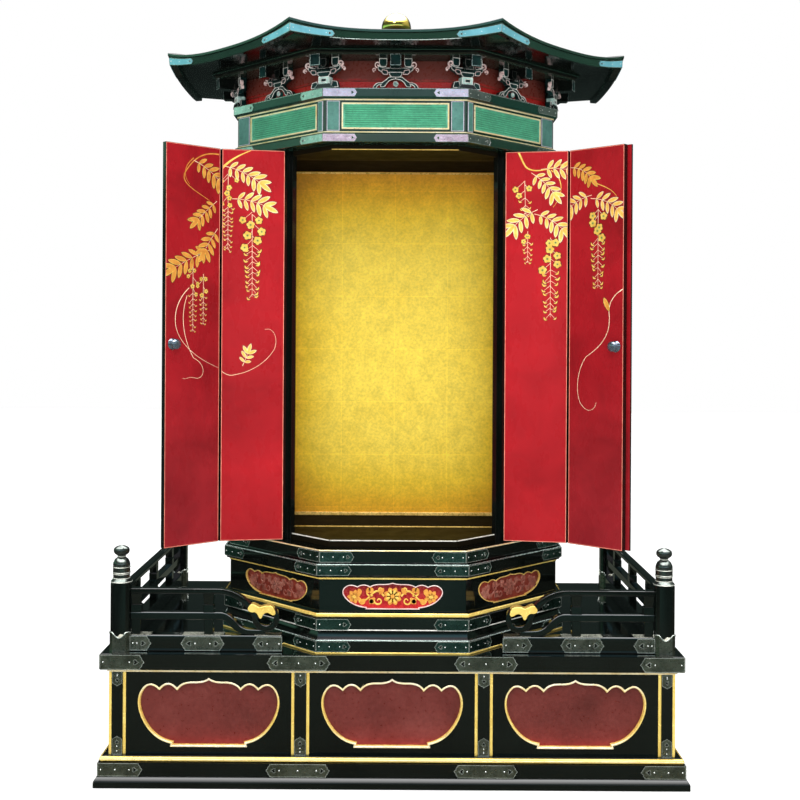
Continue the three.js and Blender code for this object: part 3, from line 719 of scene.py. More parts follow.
# Material, three colours, mottle size, roughness, speck, tints
PAINTS = {
    # ground_red: brighter red at the panel's foot and darker at its top, painted light and shade in the sunk panel.
    "ground_red": ("ground_red", (0.084, 0.013, 0.01), (0.118, 0.018, 0.014), (0.15, 0.03, 0.024), 9.0,
        (0.25, 0.5), 0.96, ((67, (1.9, 0.9, 0.9)), (84, (1.25, 1.0, 1.0)), (110, 1.0), (185, 0.9))),
    # panel_red: darker towards its top, painted shade under the upper moulding.
    "panel_red": ("panel_red", (0.33, 0.006, 0.01), (0.42, 0.012, 0.012), (0.5, 0.022, 0.016), 14.0, (0.2, 0.35),
        0.9, ((307, (1.15, 1.0, 1.0)), (325, (0.75, 0.8, 0.9)), (353, (0.26, 0.6, 0.7)))),
    "carved_red": ("carved_red", (0.075, 0.01, 0.008), (0.16, 0.02, 0.012), (0.26, 0.05, 0.03), 30, (0.25, 0.5),
        0.85),
    "carved_lit": ("carved_lit_red", (0.16, 0.036, 0.026), (0.27, 0.08, 0.056), (0.44, 0.19, 0.14), 50),
    "jade": ("jade_paint", ("jade", 0.85), ("jade", 1.0), ("jade", 1.2), 26.0, (0.3, 0.5), 0.88),
    "jade_dark": ("jade_shadow_paint", (0.004, 0.035, 0.025), (0.01, 0.075, 0.052), (0.02, 0.12, 0.085)),
    "jade_pale": ("jade_pale_paint", (0.05, 0.26, 0.17), (0.1, 0.4, 0.27), (0.2, 0.55, 0.4)),
    "teal": ("teal_paint", (0.004, 0.055, 0.05), (0.007, 0.1, 0.09), (0.02, 0.18, 0.155), 60),
    "teal_pale": ("teal_pale_paint", (0.26, 0.46, 0.42), (0.42, 0.62, 0.57), (0.6, 0.76, 0.7), 60),
    "deep_teal": ("deep_teal_paint", (0.001, 0.01, 0.01), (0.002, 0.02, 0.019), (0.006, 0.045, 0.04), 60),
    "grey_green": ("grey_green_paint", (0.04, 0.13, 0.105), (0.058, 0.17, 0.14), (0.08, 0.21, 0.18), 26.0,
        (0.25, 0.5), 0.88),
    "shell_white": ("shell_white", (0.55, 0.55, 0.5), (0.78, 0.78, 0.72), (0.92, 0.92, 0.86), 60),
    "spray_shadow": ("spray_shadow", (0.045, 0.006, 0.005), (0.07, 0.009, 0.008), (0.1, 0.014, 0.012), 60),
}

# Material, two colours, roughness, metallic, tarnish size, stipple size, tints
METALS = {
    "pink_line": ("pink_white_line", (0.75, 0.5, 0.48), (0.95, 0.82, 0.78), (0.25, 0.4), 0.2, 50),
    "lavender": ("lavender_line", (0.4, 0.38, 0.46), (0.62, 0.6, 0.68), (0.25, 0.4), 0.3, 50),
    "gilt": ("gilt", (0.62, 0.38, 0.08), ("gold", 1.0), (0.2, 0.38), 0.35, 24),
    "bright_gilt": ("bright_gilt", (0.84, 0.57, 0.12), (1.0, 0.78, 0.22), (0.16, 0.3), 0.35, 24),
    "cream": ("cream_gilt", (0.8, 0.6, 0.26), (1.0, 0.9, 0.62), (0.25, 0.4), 0.45, 30),
    # rim: paler towards its top and foot as painted highlights, deeper yellow between.
    "rim": ("cusped_rim_gilt", (0.85, 0.66, 0.28), (1.0, 0.9, 0.58), (0.25, 0.4), 0.35, 30, 0.0,
        ((67, (1.0, 1.05, 1.3)), (76, 1.0), (100, (0.97, 0.85, 0.45)), (150, (0.97, 0.85, 0.45)),
         (168, 1.0), (185, (1.0, 1.05, 1.4)))),
    "silver": ("silver_line", (0.3, 0.38, 0.36), (0.62, 0.7, 0.66), (0.2, 0.35), 0.8),
    "fitting": ("fitting_metal", ("fitting", 0.55), ("fitting", 1.35), (0.22, 0.42), 1.0, 40.0, 900.0),
    "pedestal_fitting": ("pedestal_fitting_metal", (0.05, 0.105, 0.09), (0.11, 0.21, 0.18), (0.22, 0.42), 1.0,
        40.0, 900.0),
    "frieze_fitting": ("frieze_fitting_metal", (0.5, 0.42, 0.48), (0.8, 0.68, 0.78), (0.08, 0.15)),
    "eave_fitting": ("eave_fitting_metal", (0.11, 0.34, 0.4), (0.17, 0.46, 0.54), (0.1, 0.18), 0.3),
    "fitting_edge": ("fitting_edge", (0.34, 0.38, 0.34), (0.62, 0.66, 0.6), (0.2, 0.3), 0.7),
    "nail": ("nail_head", (0.7, 0.75, 0.7), (0.95, 0.98, 0.95), (0.12, 0.22), 0.3),
    "cap": ("post_cap_bronze", (0.06, 0.068, 0.062), (0.17, 0.19, 0.175), (0.14, 0.24), 0.9, 70),
    # cap_ring: the pale rings on the dark cap are painted highlights of its bright bands.
    "cap_ring": ("post_cap_ring", (0.62, 0.64, 0.56), (0.95, 0.95, 0.86), (0.14, 0.24), 0.5, 70),
    "knob": ("door_knob_metal", (0.12, 0.15, 0.19), (0.32, 0.38, 0.46), (0.1, 0.2), 0.8, 60),
    "polished_gold": ("polished_gold", (0.95, 0.62, 0.11), (1.0, 0.74, 0.2), (0.08, 0.14), 1.0, 30),
    "spray_gold": ("spray_gold", (0.78, 0.42, 0.05), (1.0, 0.7, 0.16), (0.3, 0.5), 0.35, 90),
    "spray_orange": ("spray_orange_gold", (0.62, 0.22, 0.03), (0.88, 0.42, 0.07), (0.3, 0.5), 0.35, 90),
    "spray_pale": ("spray_pale", (0.8, 0.52, 0.3), (0.98, 0.8, 0.58), (0.35, 0.5), 0.15, 90),
    "spray_green": ("spray_green", (0.3, 0.36, 0.06), (0.52, 0.56, 0.14), (0.35, 0.5), 0.15, 90),
    "spray_rose": ("spray_rose", (0.62, 0.14, 0.09), (0.85, 0.32, 0.22), (0.35, 0.5), 0.1, 90),
}

FAMILIES = ((lacquer, LACQUERS), (mottled, PAINTS), (metal, METALS), (red_under_painted_shade, {"tier_red": ("tier_red",)}),
            (leafed_wall, {"gold_wall": ("gold_leaf_wall",)}))
MADE = {}


def finish_of(name):
    """A finish by its name, made when it is first asked for."""
    if name not in MADE:
        maker, rows = next(family for family in FAMILIES if name in family[1])
        MADE[name] = maker(*rows[name])
    return MADE[name]


# ---- fittings


def clasp_end(height):
    """The upper half of a fitting's end, from its small point back over two shoulders."""
    h = height
    nodes = [(0, 0)] + curve((0, 0), (0.04 * h, 0.08 * h), (0.11 * h, 0.13 * h), 3)
    nodes += [(0.14 * h, 0.19 * h)] + curve((0.14 * h, 0.19 * h), (0.15 * h, 0.31 * h), (0.24 * h, 0.36 * h), 3)
    return nodes + [(0.28 * h, 0.42 * h), (0.29 * h, 0.5 * h), (0.36 * h, 0.5 * h)]


def heart(size, x):
    """A small heart-shaped outline that points along -X: the old boar's-eye piercing."""
    half = [(-1.0, 0)] + curve((-1.0, 0), (-0.45, 0.22), (-0.1, 0.68), 3)
    half += curve(half[-1], (0.35, 1.0), (0.62, 0.52), 3) + [(0.36, 0.0)]
    points = half + [(u, -v) for u, v in reversed(half[1:-1])]
    return [(x + u * size, v * abs(size)) for u, v in points]


def nail(radius):
    """A domed nail head on a face: its crown stands towards -Y."""
    profile = [(0, 0.7), (radius * 0.6, 0.7 * 0.8), (radius, 0), (0, -0.3)]
    piece = paint(turned(profile, 8, 60), "nail")
    piece.data.transform(turn(pi / 2, "X"))
    return piece


def clasp(length, height, points=(True, True), thick=0.9, finish="fitting", steps=1):
    """A sheet fitting along X from 0 to its length, about Z 0, pointed or cut square at each end.

    Its rim and its heart-shaped holes are edged with a pale line, and nails stand on its middle line.
    """
    end = clasp_end(height) if points[0] else [(0, height / 2)]
    far = clasp_end(height) if points[1] else [(0, height / 2)]
    x0, x1 = end[-1][0], length - far[-1][0]
    top = end + [(x0 + (x1 - x0) * i / steps, height / 2) for i in range(1, steps)]
    top += [(length - x, z) for x, z in reversed(far)]
    outline = top + [(x, -z) for x, z in reversed(top) if abs(z) > 1e-6]
    piece = plate(outline, thick, 0.0)
    line = 0.036 * height
    lines = [band(outline, grown(outline, -line), 0.35, 0.0, back=-thick + 0.1)]
    spots = []
    for pointed, x, way in ((points[0], height * 0.60, 1), (points[1], length - height * 0.60, -1)):
        if pointed:
            hole = heart(height * 0.20 * way, x)
            piece = pierced(piece, plate(hole, thick * 3, 0.0, back=thick))
            lines.append(band(grown(hole, line * 0.8), hole, 0.35, 0.0, back=-thick + 0.1))
        spots.append(x + way * height * 0.42 if pointed else (5.5 if way > 0 else length - 5.5))
    if length > 3.2 * height:
        spots.append(sum(spots) / 2)
    paint(ease_edges(piece, 0), finish)
    for one in lines:
        paint(one, "fitting_edge")
    return joined([piece, *lines, copied(nail(min(1.2, height * 0.055)), [shift(x, -thick) for x in spots])])


def clasps_at(master, places, name):
    settle(copied(master, places), name)


# ---- the base

CORNER_POST, MID_POST, POST_PROUD = 24, 21, 3
PITCH = (2 * WALL_X - 2 * CORNER_POST - 2 * MID_POST) / 3 + MID_POST
FRONT_POSTS = [(-WALL_X, -WALL_X + CORNER_POST), (-PITCH / 2 - MID_POST / 2, -PITCH / 2 + MID_POST / 2),
               (PITCH / 2 - MID_POST / 2, PITCH / 2 + MID_POST / 2), (WALL_X - CORNER_POST, WALL_X)]
SIDE_POSTS = [(-WALL_Y + 18, -WALL_Y + 42), (-MID_POST / 2, MID_POST / 2), (WALL_Y - 42, WALL_Y - 18)]
FRONT_PANELS = [-PITCH, 0, PITCH]
SIDE_PANELS = [-(WALL_Y - 18) / 2 + 2, (WALL_Y - 18) / 2 - 2]
PANEL = {"width": 248, "height": 118, "z": 67, "sink": 6}


class SHRINE_OT_base(bpy.types.Operator):
    """Finish the base's boards and lay its gilt mouldings and lines"""
    bl_idname = "shrine.base"
    bl_label = "Base Boards"

    def execute(self, context):
        for node in ("base_plinth", "base_front_board", "base_side_board_right", "base_side_board_left",
                     "base_back_board", "base_slab"):
            lacquered(node, size_of("edge") * (0.6 if "board" in node else 1.0))
        low, high = reach_of("base_gilt_moulding")
        beads = []
        for z0, z1, out, bevel, finish in ((low[2] + 1.2, high[2] - 1.2, 0, 2.6, "bright_gilt"),
                                           (low[2] + 4.0, low[2] + 5.8, 0.7, 0.5, "cream"),
                                           (low[2], high[2], -4, 0.3, "black")):
            x, y = high[0] + out, high[1] + out
            beads.append(paint(bar(-x, x, -y, y, z0, z1, bevel, 3), finish))
        settle(joined(beads), "base_gilt_beads", stands_for=["base_gilt_moulding"])

        strips = []
        top, foot = BOARD_HIGH[2], BOARD_LOW[2]
        proud = POST_PROUD + 0.5
        for side, half, posts in ((0, WALL_X, FRONT_POSTS), (1, WALL_Y, SIDE_POSTS), (-1, WALL_Y, SIDE_POSTS)):
            runs = [(-half, half, top - 4.2, top, proud + 0.8)]
            for (_, x0), (x1, _) in zip(posts, posts[1:]):
                runs += [(x0, x0 + 5.2, foot, top - 3, 1.5), (x1 - 5.2, x1, foot, top - 3, 1.5)]
            if side == 0:
                runs += [(-half, -half + 4.6, foot, top - 3, proud), (half - 4.6, half, foot, top - 3, proud)]
            for row, (a, b, z0, z1, out) in enumerate(runs):
                piece = bar(a, b, -out, 0.5, z0, z1, 0.5)
                piece.data.transform(on_base(side))
                # The top run takes the paler cream, painted light on a strip that lies in the slab's shade.
                strips.append(paint(piece, "bright_gilt" if row else "cream"))
        settle(joined(strips), "base_gilt_strips")
        return {"FINISHED"}


class SHRINE_OT_base_panels(bpy.types.Operator):
    """Set the mottled red grounds and the cusped gilt rims of the base's panels"""
    bl_idname = "shrine.base_panels"
    bl_label = "Base Panels"

    def execute(self, context):
        outline = kozama(PANEL["width"], PANEL["height"], PANEL["z"], 9)
        wide = size_of("rim")
        places = [on_base(0, x) for x in FRONT_PANELS]
        places += [on_base(side, x) for side in (-1, 1) for x in SIDE_PANELS]
        ground = plate(grown(outline, 1.2), 1.5, 0.0, back=PANEL["sink"] + 0.4)
        settle(copied(paint(ground, "ground_red"), places), "base_panel_grounds")
        rim = band(grown(outline, wide * 0.55), grown(outline, -wide * 0.45), PANEL["sink"] + 1.0, 1.0, 3,
                   back=PANEL["sink"] - 0.5)
        settle(copied(paint(rim, "rim"), places), "base_panel_rims")
        fillet = band(grown(outline, -wide * 0.45), grown(outline, -wide * 0.45 - 1.1), 2.0, 0.4, 2,
                      back=PANEL["sink"] - 0.8)
        settle(copied(paint(fillet, "gilt"), places), "base_panel_fillets")
        return {"FINISHED"}


class SHRINE_OT_base_fittings(bpy.types.Operator):
    """Nail the metal fittings to the base's slab, frame and posts"""
    bl_idname = "shrine.base_fittings"
    bl_label = "Base Fittings"

    def execute(self, context):
        rows = [((SLAB_HIGH[2] + SLAB_LOW[2]) / 2, 25.5, SLAB_HIGH[1] - WALL_Y, SLAB_HIGH[0] - WALL_X),
                (30.5, 22.5, 16, 16)]
        for row, (z, height, front_out, side_out) in enumerate(rows):
            places = [on_base(0, x - 55.5, front_out, z) for x in (-164, 164)]
            places += [on_base(side, -55.5, side_out, z) for side in (-1, 1)]
            clasps_at(clasp(111, height), places, "base_middle_fittings_%d" % row)
            places = []
            for side, half, out in ((0, WALL_X + side_out, front_out), (1, WALL_Y + front_out, side_out),
                                    (-1, WALL_Y + front_out, side_out)):
                places.append(on_base(side, -half, out, z))
                places.append(on_base(side, half, out, z) @ MIRROR)
            clasps_at(clasp(78, height, (False, True)), places, "base_corner_fittings_%d" % row)
        inner = CORNER_POST - 5
        corners = [(-WALL_X + 5, -WALL_X + CORNER_POST), (WALL_X - CORNER_POST, WALL_X - 5)]
        for wide, front, flank in ((MID_POST, FRONT_POSTS[1:3], SIDE_POSTS[1:2]),
                                   (inner, corners, SIDE_POSTS[::2])):
            spans = [(0, span) for span in front] + [(side, span) for side in (-1, 1) for span in flank]
            for end, long, level, flip in (("foot", 32, BOARD_LOW[2], 1), ("top", 26, BOARD_HIGH[2] - 3.6, -1)):
                master = clasp(long, wide - 1.4, (False, True))
                master.data.transform(turn(-pi / 2, "Y"))
                places = [on_base(side, (a + b) / 2, POST_PROUD, level) @ Matrix.Scale(flip, 4, (0, 0, 1))
                          for side, (a, b) in spans]
                clasps_at(master, places, "base_post_%s_fittings_%d" % (end, wide))
        return {"FINISHED"}


# ---- the balustrade

POST_X = (reach_of("balustrade_post_front_right")[0][0] + apothem_of("balustrade_post_front_right")) / 2
POST_Y = -(reach_of("balustrade_post_front_right")[0][1] + reach_of("balustrade_post_front_right")[1][1]) / 2
POST_TOP = reach_of("balustrade_post_front_right")[1][2]
RAIL = {"foot": (230, 258.5), "middle": (285, 298), "top": (331, 340), "deep": 16, "foot_deep": 24}
RAIL_END = reach_of("foot_rail_front_right")[0][0]
RAIL_FACE = reach_of("foot_rail_front_right")[1][0]
CAP_PROFILE = [(0, 0), (18.4, 0), (18.7, 0.7), (18.4, 2.4), (16.6, 4.4), (15.2, 6.4), (14.6, 7.4), (14.6, 14.6),
               (13.2, 15.4), (13.2, 16.6), (15.0, 17.4), (15.1, 26.6), (14.2, 27.4), (14.2, 28.4), (15.0, 29.4),
               (15.0, 32), (14.4, 35), (12.0, 40), (8.2, 43.2), (6.6, 44.4), (6.5, 46), (8.2, 47.6),
               (12, 50.4), (13.8, 53.6), (14.0, 56.6), (12.8, 60), (9.0, 62.6), (4.4, 64.2), (1.6, 65), (0.7, 65.6),
               (0, 66)]
CAP_RINGS = ((18.5, 1.2, 0.7), (14.9, 7.4, 0.55), (14.9, 14.8, 0.55), (15.2, 17.4, 0.6), (15.2, 26.8, 0.6),
             (6.6, 45.2, 0.8))


def smoothed(points, steps):
    """A closed outline that rounds off the corners of a rough one."""
    line = []
    for i, middle in enumerate(points):
        before, after = points[i - 1], points[(i + 1) % len(points)]
        start = tuple((a + b) / 2 for a, b in zip(before, middle))
        line += curve(start, middle, tuple((a + b) / 2 for a, b in zip(middle, after)), steps)
    return line


def front_and_mirror(master, name, nodes=None):
    """Both sides of a front rail piece made for the right: its mesh is placed and mirrored."""
    place = shift(0, -POST_Y, 0)
    for side, at in (("_left", MIRROR @ place), ("_right", place)):
        settle(copied(master, [at], keep=side == "_left"), name + side,
               stands_for=[nodes + side] if nodes else ())


def strut_pieces(x, deep):
    """A strut: square under the middle rail, then a shoulder block and a bearing block above it."""
    shoulder = RAIL["middle"][1] + 13.5
    y = deep / 2 - 1
    high = RAIL["top"][0] - shoulder
    return [
        bar(x - 8, x + 8, -y, y, RAIL["foot"][1], RAIL["middle"][0] + 1, 1.0),
        bar(x - 9.5, x + 9.5, -y - 0.6, y + 0.6, RAIL["middle"][1] - 1, shoulder, 0.9),
        block((20, 2 * y, high), (x, 0, shoulder + high / 2), 0.7, taper=0.74),
    ]


class SHRINE_OT_balustrade(bpy.types.Operator):
    """Make the balustrade's posts, capped and shod, and its rails with their fern-curl ends"""
    bl_idname = "shrine.balustrade"
    bl_label = "Balustrade"

    def execute(self, context):
        for end in ("front", "rear"):
            for side in ("left", "right"):
                lacquered("balustrade_post_%s_%s" % (end, side), 0.8)
                cap = [paint(turned(CAP_PROFILE, 36, 28), "cap")]
                # Raised rings whose pale finish paints the cap's highlights.
                for radius, z, thick in CAP_RINGS:
                    ring = [(x, y, z) for x, y in circle(radius, 36)]
                    cap.append(paint(rod(ring, thick, True), "cap_ring"))
                cap = joined(cap)
                sx, sy = (1 if side == "right" else -1), (1 if end == "rear" else -1)
                cap.data.transform(shift(sx * POST_X, sy * POST_Y, POST_TOP + 0.3))
                node = "post_cap_%s_%s" % (end, side)
                settle(cap, node + "_turned", stands_for=[node])
        self.shoes()
        self.rails()
        self.side_rails()
        return {"FINISHED"}

    def shoes(self):
        """A metal shoe round each post's foot, its upper edge dipping on every face."""
        h, c = 17.9, 6.2
        corners = [(-h + c, -h), (h - c, -h), (h, -h + c), (h, h - c), (h - c, h), (-h + c, h), (-h, h - c),
                   (-h, -h + c)]
        outline = []
        for i, (x, y) in enumerate(corners):
            nx, ny = corners[(i + 1) % 8]
            steps = 8 if i % 2 == 0 else 2
            for k in range(steps):
                t = k / steps
                dip = 10 * (1 - abs(2 * t - 1) ** 1.7) if i % 2 == 0 else 0
                outline.append((x + (nx - x) * t, y + (ny - y) * t, SLAB_HIGH[2] + 34 - dip))
        low = [(x, y, SLAB_HIGH[2] + 0.2) for x, y, _ in outline]
        shoe = paint(ease_edges(lofted([low, outline]), 0), "fitting")
        hem = paint(rod(outline, 1.0, True), "fitting_edge")
        places = [shift(sx * POST_X, sy * POST_Y) for sx in (-1, 1) for sy in (-1, 1)]
        settle(copied(joined([shoe, hem]), places), "post_shoes")

    def rails(self):
        deep = RAIL["deep"]
        z = sum(RAIL["top"]) / 2
        line = [(RAIL_FACE, z)] + bezier((312, z), (280, z), (256, 318), (244, 290), 26)
        for i in range(1, 45):
            t = i / 44
            angle = -1.6 * pi * t
            r = 21 * (1 - 0.40 * t ** 1.8)
            line.append((223 + r * cos(angle), 290 + r * sin(angle)))
        outline = ribbon(line, lambda t: 9 + 1.5 * sin(pi * t))
        top = paint(plate(outline, deep, 2.6, 4, back=deep / 2), "black")
        front_and_mirror(top, "top_rail_scroll", "top_rail_front")

        z = sum(RAIL["middle"]) / 2
        over = RAIL["foot"][1]
        line = [(RAIL_FACE, z)] + bezier((306, z), (284, z), (282, over + 5), (252, over + 4.8), 24)
        line += [(238, over + 4.6), (226, over + 4.8)]
        outline = ribbon(line, lambda t: 13 - 4.4 * max(0, 2 * t - 1))
        parts = [plate(outline, deep, 1.6, 3, back=deep / 2)]
        for x in (RAIL_FACE - 10.5, 326):
            parts += strut_pieces(x, deep)
        middle = joined([paint(part, "black") for part in parts])
        front_and_mirror(middle, "middle_rail", "middle_rail_front")

        half = RAIL["foot_deep"] / 2
        foot = paint(bar(RAIL_END, RAIL_FACE, -half, half, RAIL["foot"][0] + 0.1, over, 2.2, 3), "black")
        front_and_mirror(foot, "foot_rail", "foot_rail_front")
        plates = []
        for x0, x1, ends in ((426, 464, (True, False)), (297, 374, (True, True)), (195, 247, (False, True))):
            one = clasp(x1 - x0, 25, ends)
            one.data.transform(shift(x0, -half, (RAIL["foot"][0] + over) / 2))
            plates.append(one)
        for x0, x1 in ((428, 463), (299, 372), (197, 245)):
            plates.append(paint(bar(x0, x1, -half + 1.5, half - 1.5, over - 1, over + 0.7, 0.5), "fitting"))
        front_and_mirror(joined(plates), "foot_rail_fittings")

        upper = [(206.6, 298), (210.7, 308.5), (219, 311.5), (229, 310), (235, 307), (243, 312), (250, 314.5),
                 (257, 307), (256, 301), (249.4, 298.4), (244, 299.5), (239, 295.5), (236, 288), (232.5, 287.5),
                 (230.5, 292), (227, 297.5), (221, 299), (212.8, 293.5), (209, 293.8)]
        crest = smoothed(upper, 4)
        cap = paint(plate(crest, deep + 3, 1.1, 3, back=deep / 2 + 1.5), "bright_gilt")
        front_and_mirror(cap, "scroll_end_cap")

    def side_rails(self):
        for side in ("left", "right"):
            for row, edge in (("foot", 2.0), ("middle", 1.0), ("top", 2.4)):
                lacquered("%s_rail_side_%s" % (row, side), edge, segments=3)


# ---- the pedestal

WAIST = {"width": 178, "height": 46, "z": 307, "sink": 5, "plate": 2, "forward": 8}
COURSES = ("pedestal_foot", "pedestal_lower_moulding", "pedestal_waist", "pedestal_upper_moulding",
           "cabinet_floor_board")


def course_strip(apothem, z0, z1, finish, bevel=0.3):
    """A thin line round the octagon between two heights."""
    outer, inner = plan(apothem, PEDESTAL_BACK + 0.3), plan(apothem - 3, PEDESTAL_BACK - 3)
    ring = band(outer, inner, z1 - z0, bevel, 1, back=-z0)
    ring.data.transform(turn(-pi / 2, "X"))
    return paint(ring, finish)


def course_clasps(apothem, z, height, name, finish="pedestal_fitting"):
    """Fittings over the front four corners of a course, one arm on each face."""
    places = corner_places(apothem, apothem * TAN, z)
    clasps_at(clasp(61, height, (False, True), 0.8, finish), places, name)


class SHRINE_OT_pedestal(bpy.types.Operator):
    """Finish the pedestal's courses, draw their gilt lines and nail on their fittings"""
    bl_idname = "shrine.pedestal"
    bl_label = "Pedestal"

    def execute(self, context):
        edge = size_of("edge")
        for node in COURSES:
            lacquered(node, edge * (0.5 if "waist" in node else 0.9))
        foot, lower, waist, upper, floor = (apothem_of(node) for node in COURSES)
        gilt = [course_strip(waist + 1.8, 359.3, 363, "bright_gilt", bevel=0.6),
                course_strip(lower + 0.5, 295, 301.2, "bright_gilt", bevel=1.2),
                course_strip(foot + 0.8, 230.1, 233.2, "bright_gilt", bevel=0.6),
                course_strip(floor + 0.4, 408.2, 410.3, "cream", bevel=0.6)]
        settle(joined(gilt), "pedestal_gilt_lines")
        # Pale lines along the mouldings' edges: painted highlights.
        pale = [course_strip(upper + 0.35, 385.6, 387.25, "silver"),
                course_strip(lower + 0.35, 270.9, 272.8, "shell_white"),
                course_strip(foot + 0.35, 252.6, 254.2, "silver")]
        settle(joined(pale), "pedestal_pale_lines")
        course_clasps(floor, 398.3, 18.5, "floor_board_fittings")
        course_clasps(upper, 376.5, 17.5, "upper_moulding_fittings")
        course_clasps(lower, 281.5, 19.5, "lower_moulding_fittings")
        course_clasps(foot, 243, 18.5, "foot_course_fittings")
        return {"FINISHED"}


def spiral(x, z, radius, turns, start, way, width=2.0, steps=20):
    """The centre line of a curl that winds in from its outside."""
    points = []
    for i in range(steps + 1):
        t = i / steps
        r = radius * (1 - 0.82 * t)
        angle = start + way * turns * 2 * pi * t
        points.append((x + r * cos(angle), z + r * sin(angle)))
    return ribbon(points, lambda t: width * (1 - 0.45 * t))


def teardrop(long, wide):
    """A petal or leaf outline from its root at 0 to its tip along +X."""
    half = [(0, 0)] + curve((0, 0), (long * 0.35, wide * 0.62), (long * 0.66, wide * 0.44), 4)
    half += curve(half[-1], (long * 0.92, wide * 0.3), (long, 0), 3)
    return half + [(x, -z) for x, z in reversed(half[1:-1])]


def laid(outline, x, z, angle, side=1):
    c, s = cos(angle), sin(angle)
    return [(side * (x + u * c - v * s), z + u * s + v * c) for u, v in outline]


class SHRINE_OT_waist_panels(bpy.types.Operator):
    """Carve the flower and its scrolling vine into the pedestal's three waist panels"""
    bl_idname = "shrine.waist_panels"
    bl_label = "Waist Panels"

    def execute(self, context):
        apothem = apothem_of("pedestal_waist")
        outline = kozama(WAIST["width"], WAIST["height"], WAIST["z"], 7)
        front = WAIST["sink"] - 0.3 - WAIST["plate"]
        for name, side in (("left", -1), ("front", 0), ("right", 1)):
            place = on_face(side, apothem, -side * WAIST["forward"])
            ground = plate(grown(outline, 0.6), WAIST["plate"], 0.0, back=WAIST["sink"] - 0.3)
            paint(ground, "carved_red" if side else "panel_red")
            scroll = self.scroll(front, side != 0)
            rim = band(grown(outline, 0.6), grown(outline, -0.9), WAIST["sink"] + 0.6, 0.5, 2,
                       back=WAIST["sink"] - 0.6)
            panel = joined([ground, paint(rim, "gilt" if side else "pink_line")] + scroll)
            panel.data.transform(place)
            settle(panel, "waist_panel_carving_" + name, stands_for=["waist_panel_" + name])
        return {"FINISHED"}

    def scroll(self, front, dense):
        """The relief's pieces: an open flower, a vine each way, curls, leaves and end buds."""
        middle = WAIST["z"] + WAIST["height"] / 2 - 1
        # On the side panels the relief takes carved_lit, a lighter copy of the carved red: painted light on the
        # raised carving.
        gold, pale = ("carved_lit", "carved_lit") if dense else ("spray_orange", "spray_gold")
        made = []

        def add(shape, finish, high=1.5):
            made.append(paint(plate(shape, high, 0.35, 1, back=front + 0.2), finish))

        for i in range(8):
            way = pi * (i + 0.5) / 4
            add(laid(teardrop(16.5, 10.6), 0, middle, way), gold, 1.8)
            add(laid(teardrop(9, 4.6), 4 * cos(way), middle + 4 * sin(way), way), pale, 2.3)
        add(circle(3.6, 12, 0, middle), gold, 2.8)
        for side in (-1, 1):
            vine = [(side * (15 + 52 * t / 24), middle + 9.5 * sin(2.05 * pi * t / 24)
                     * (1 - 0.2 * t / 24)) for t in range(25)]
            add(ribbon(vine, lambda t: 3.4 - t), pale, 1.3)
            for x, z, r, turns, start, way in ((25, -8, 8.4, 1.1, 0.6, -1), (40, 8, 8.0, 1.1, -2.2, 1),
                                               (53, -9, 6.6, 1.0, 0.9, -1), (21, 12, 5.2, 1.0, -2.4, 1)):
                shape = spiral(x, middle + z, r, turns, start, way, 3.0)
                add([(side * u, v) for u, v in shape], pale, 1.3)
            for x, z, angle, long in ((24, 3, 2.2, 14), (32, -2, -0.9, 15), (34, 6, 0.9, 13), (46, 4, 2.0, 13),
                                      (47, -6, -0.5, 13), (42, -4, -2.3, 13), (56, 3, 1.1, 11)):
                add(laid(teardrop(long, 8.5), x, middle + z, angle, side), gold, 1.6)
            for k in range(7):
                add(laid(teardrop(12.5, 8), 68, middle - 1, k * 2 * pi / 7, side), gold, 1.7)
            add(laid(teardrop(8, 6), 64, middle - 1, 0, side), pale, 2.3)
        return made


# ---- the cabinet and its doors


def face_bar(side, apothem, x0, x1, z0, z1, proud, sunk, finish, bevel=0.3):
    """A strip laid on one of the octagon's faces."""
    piece = paint(bar(x0, x1, -proud, sunk, z0, z1, bevel, 1), finish)
    piece.data.transform(on_face(side, apothem))
    return piece


class SHRINE_OT_cabinet(bpy.types.Operator):
    """Finish the cabinet's walls, floor and ceiling and lay the gold leaf on its back"""
    bl_idname = "shrine.cabinet"
    bl_label = "Cabinet"

    def execute(self, context):
        for node, edge, finish in (("cabinet_wall_left", 0.6, "black"), ("cabinet_wall_right", 0.6, "black"),
                                   ("cabinet_back_wall", 0.5, "black"), ("door_sill", 0.6, "black_sill"),
                                   ("door_lintel", 0.6, "black_sill"), ("inner_floor_step", 0.3, "black_inside"),
                                   ("inner_ceiling_board", 0.3, "black_inside")):
            lacquered(node, edge, finish)
        paint(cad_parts["gold_back_panel"], "gold_wall")
        low, high = reach_of("gold_back_panel")
        step_low, step_high = reach_of("inner_floor_step")
        sill = apothem_of("door_sill")
        sill_top = reach_of("door_sill")[1][2]
        lintel = reach_of("door_lintel")[0][2]
        lines = [bar(low[0], high[0], low[1] - 4, low[1], step_high[2], step_high[2] + 7, 1.2, 2),
                 bar(low[0], high[0], low[1] - 2, low[1], high[2] - 8, high[2] - 4.5, 0.5, 1),
                 bar(step_low[0] + 1, step_high[0] - 1, step_low[1] - 0.4, step_low[1] + 1, step_low[2],
                     step_high[2] + 0.2, 0.2, 1)]
        for line in lines:
            paint(line, "gilt")
        half = sill * TAN - 1
        lines.append(face_bar(0, sill, -half, half, lintel, lintel + 1.5, 0.3, 0.8, "gilt"))
        settle(joined(lines), "cabinet_gilt_lines")
        # A pale line along the sill's top edge: a painted highlight.
        pale = [face_bar(side, sill, x0, x1, sill_top - 1.6, sill_top + 0.3, 0.5, 0.9, "shell_white")
                for side, x0, x1 in ((0, -half, half), (-1, 12, half), (1, -half, -12))]
        settle(joined(pale), "door_sill_line")
        return {"FINISHED"}


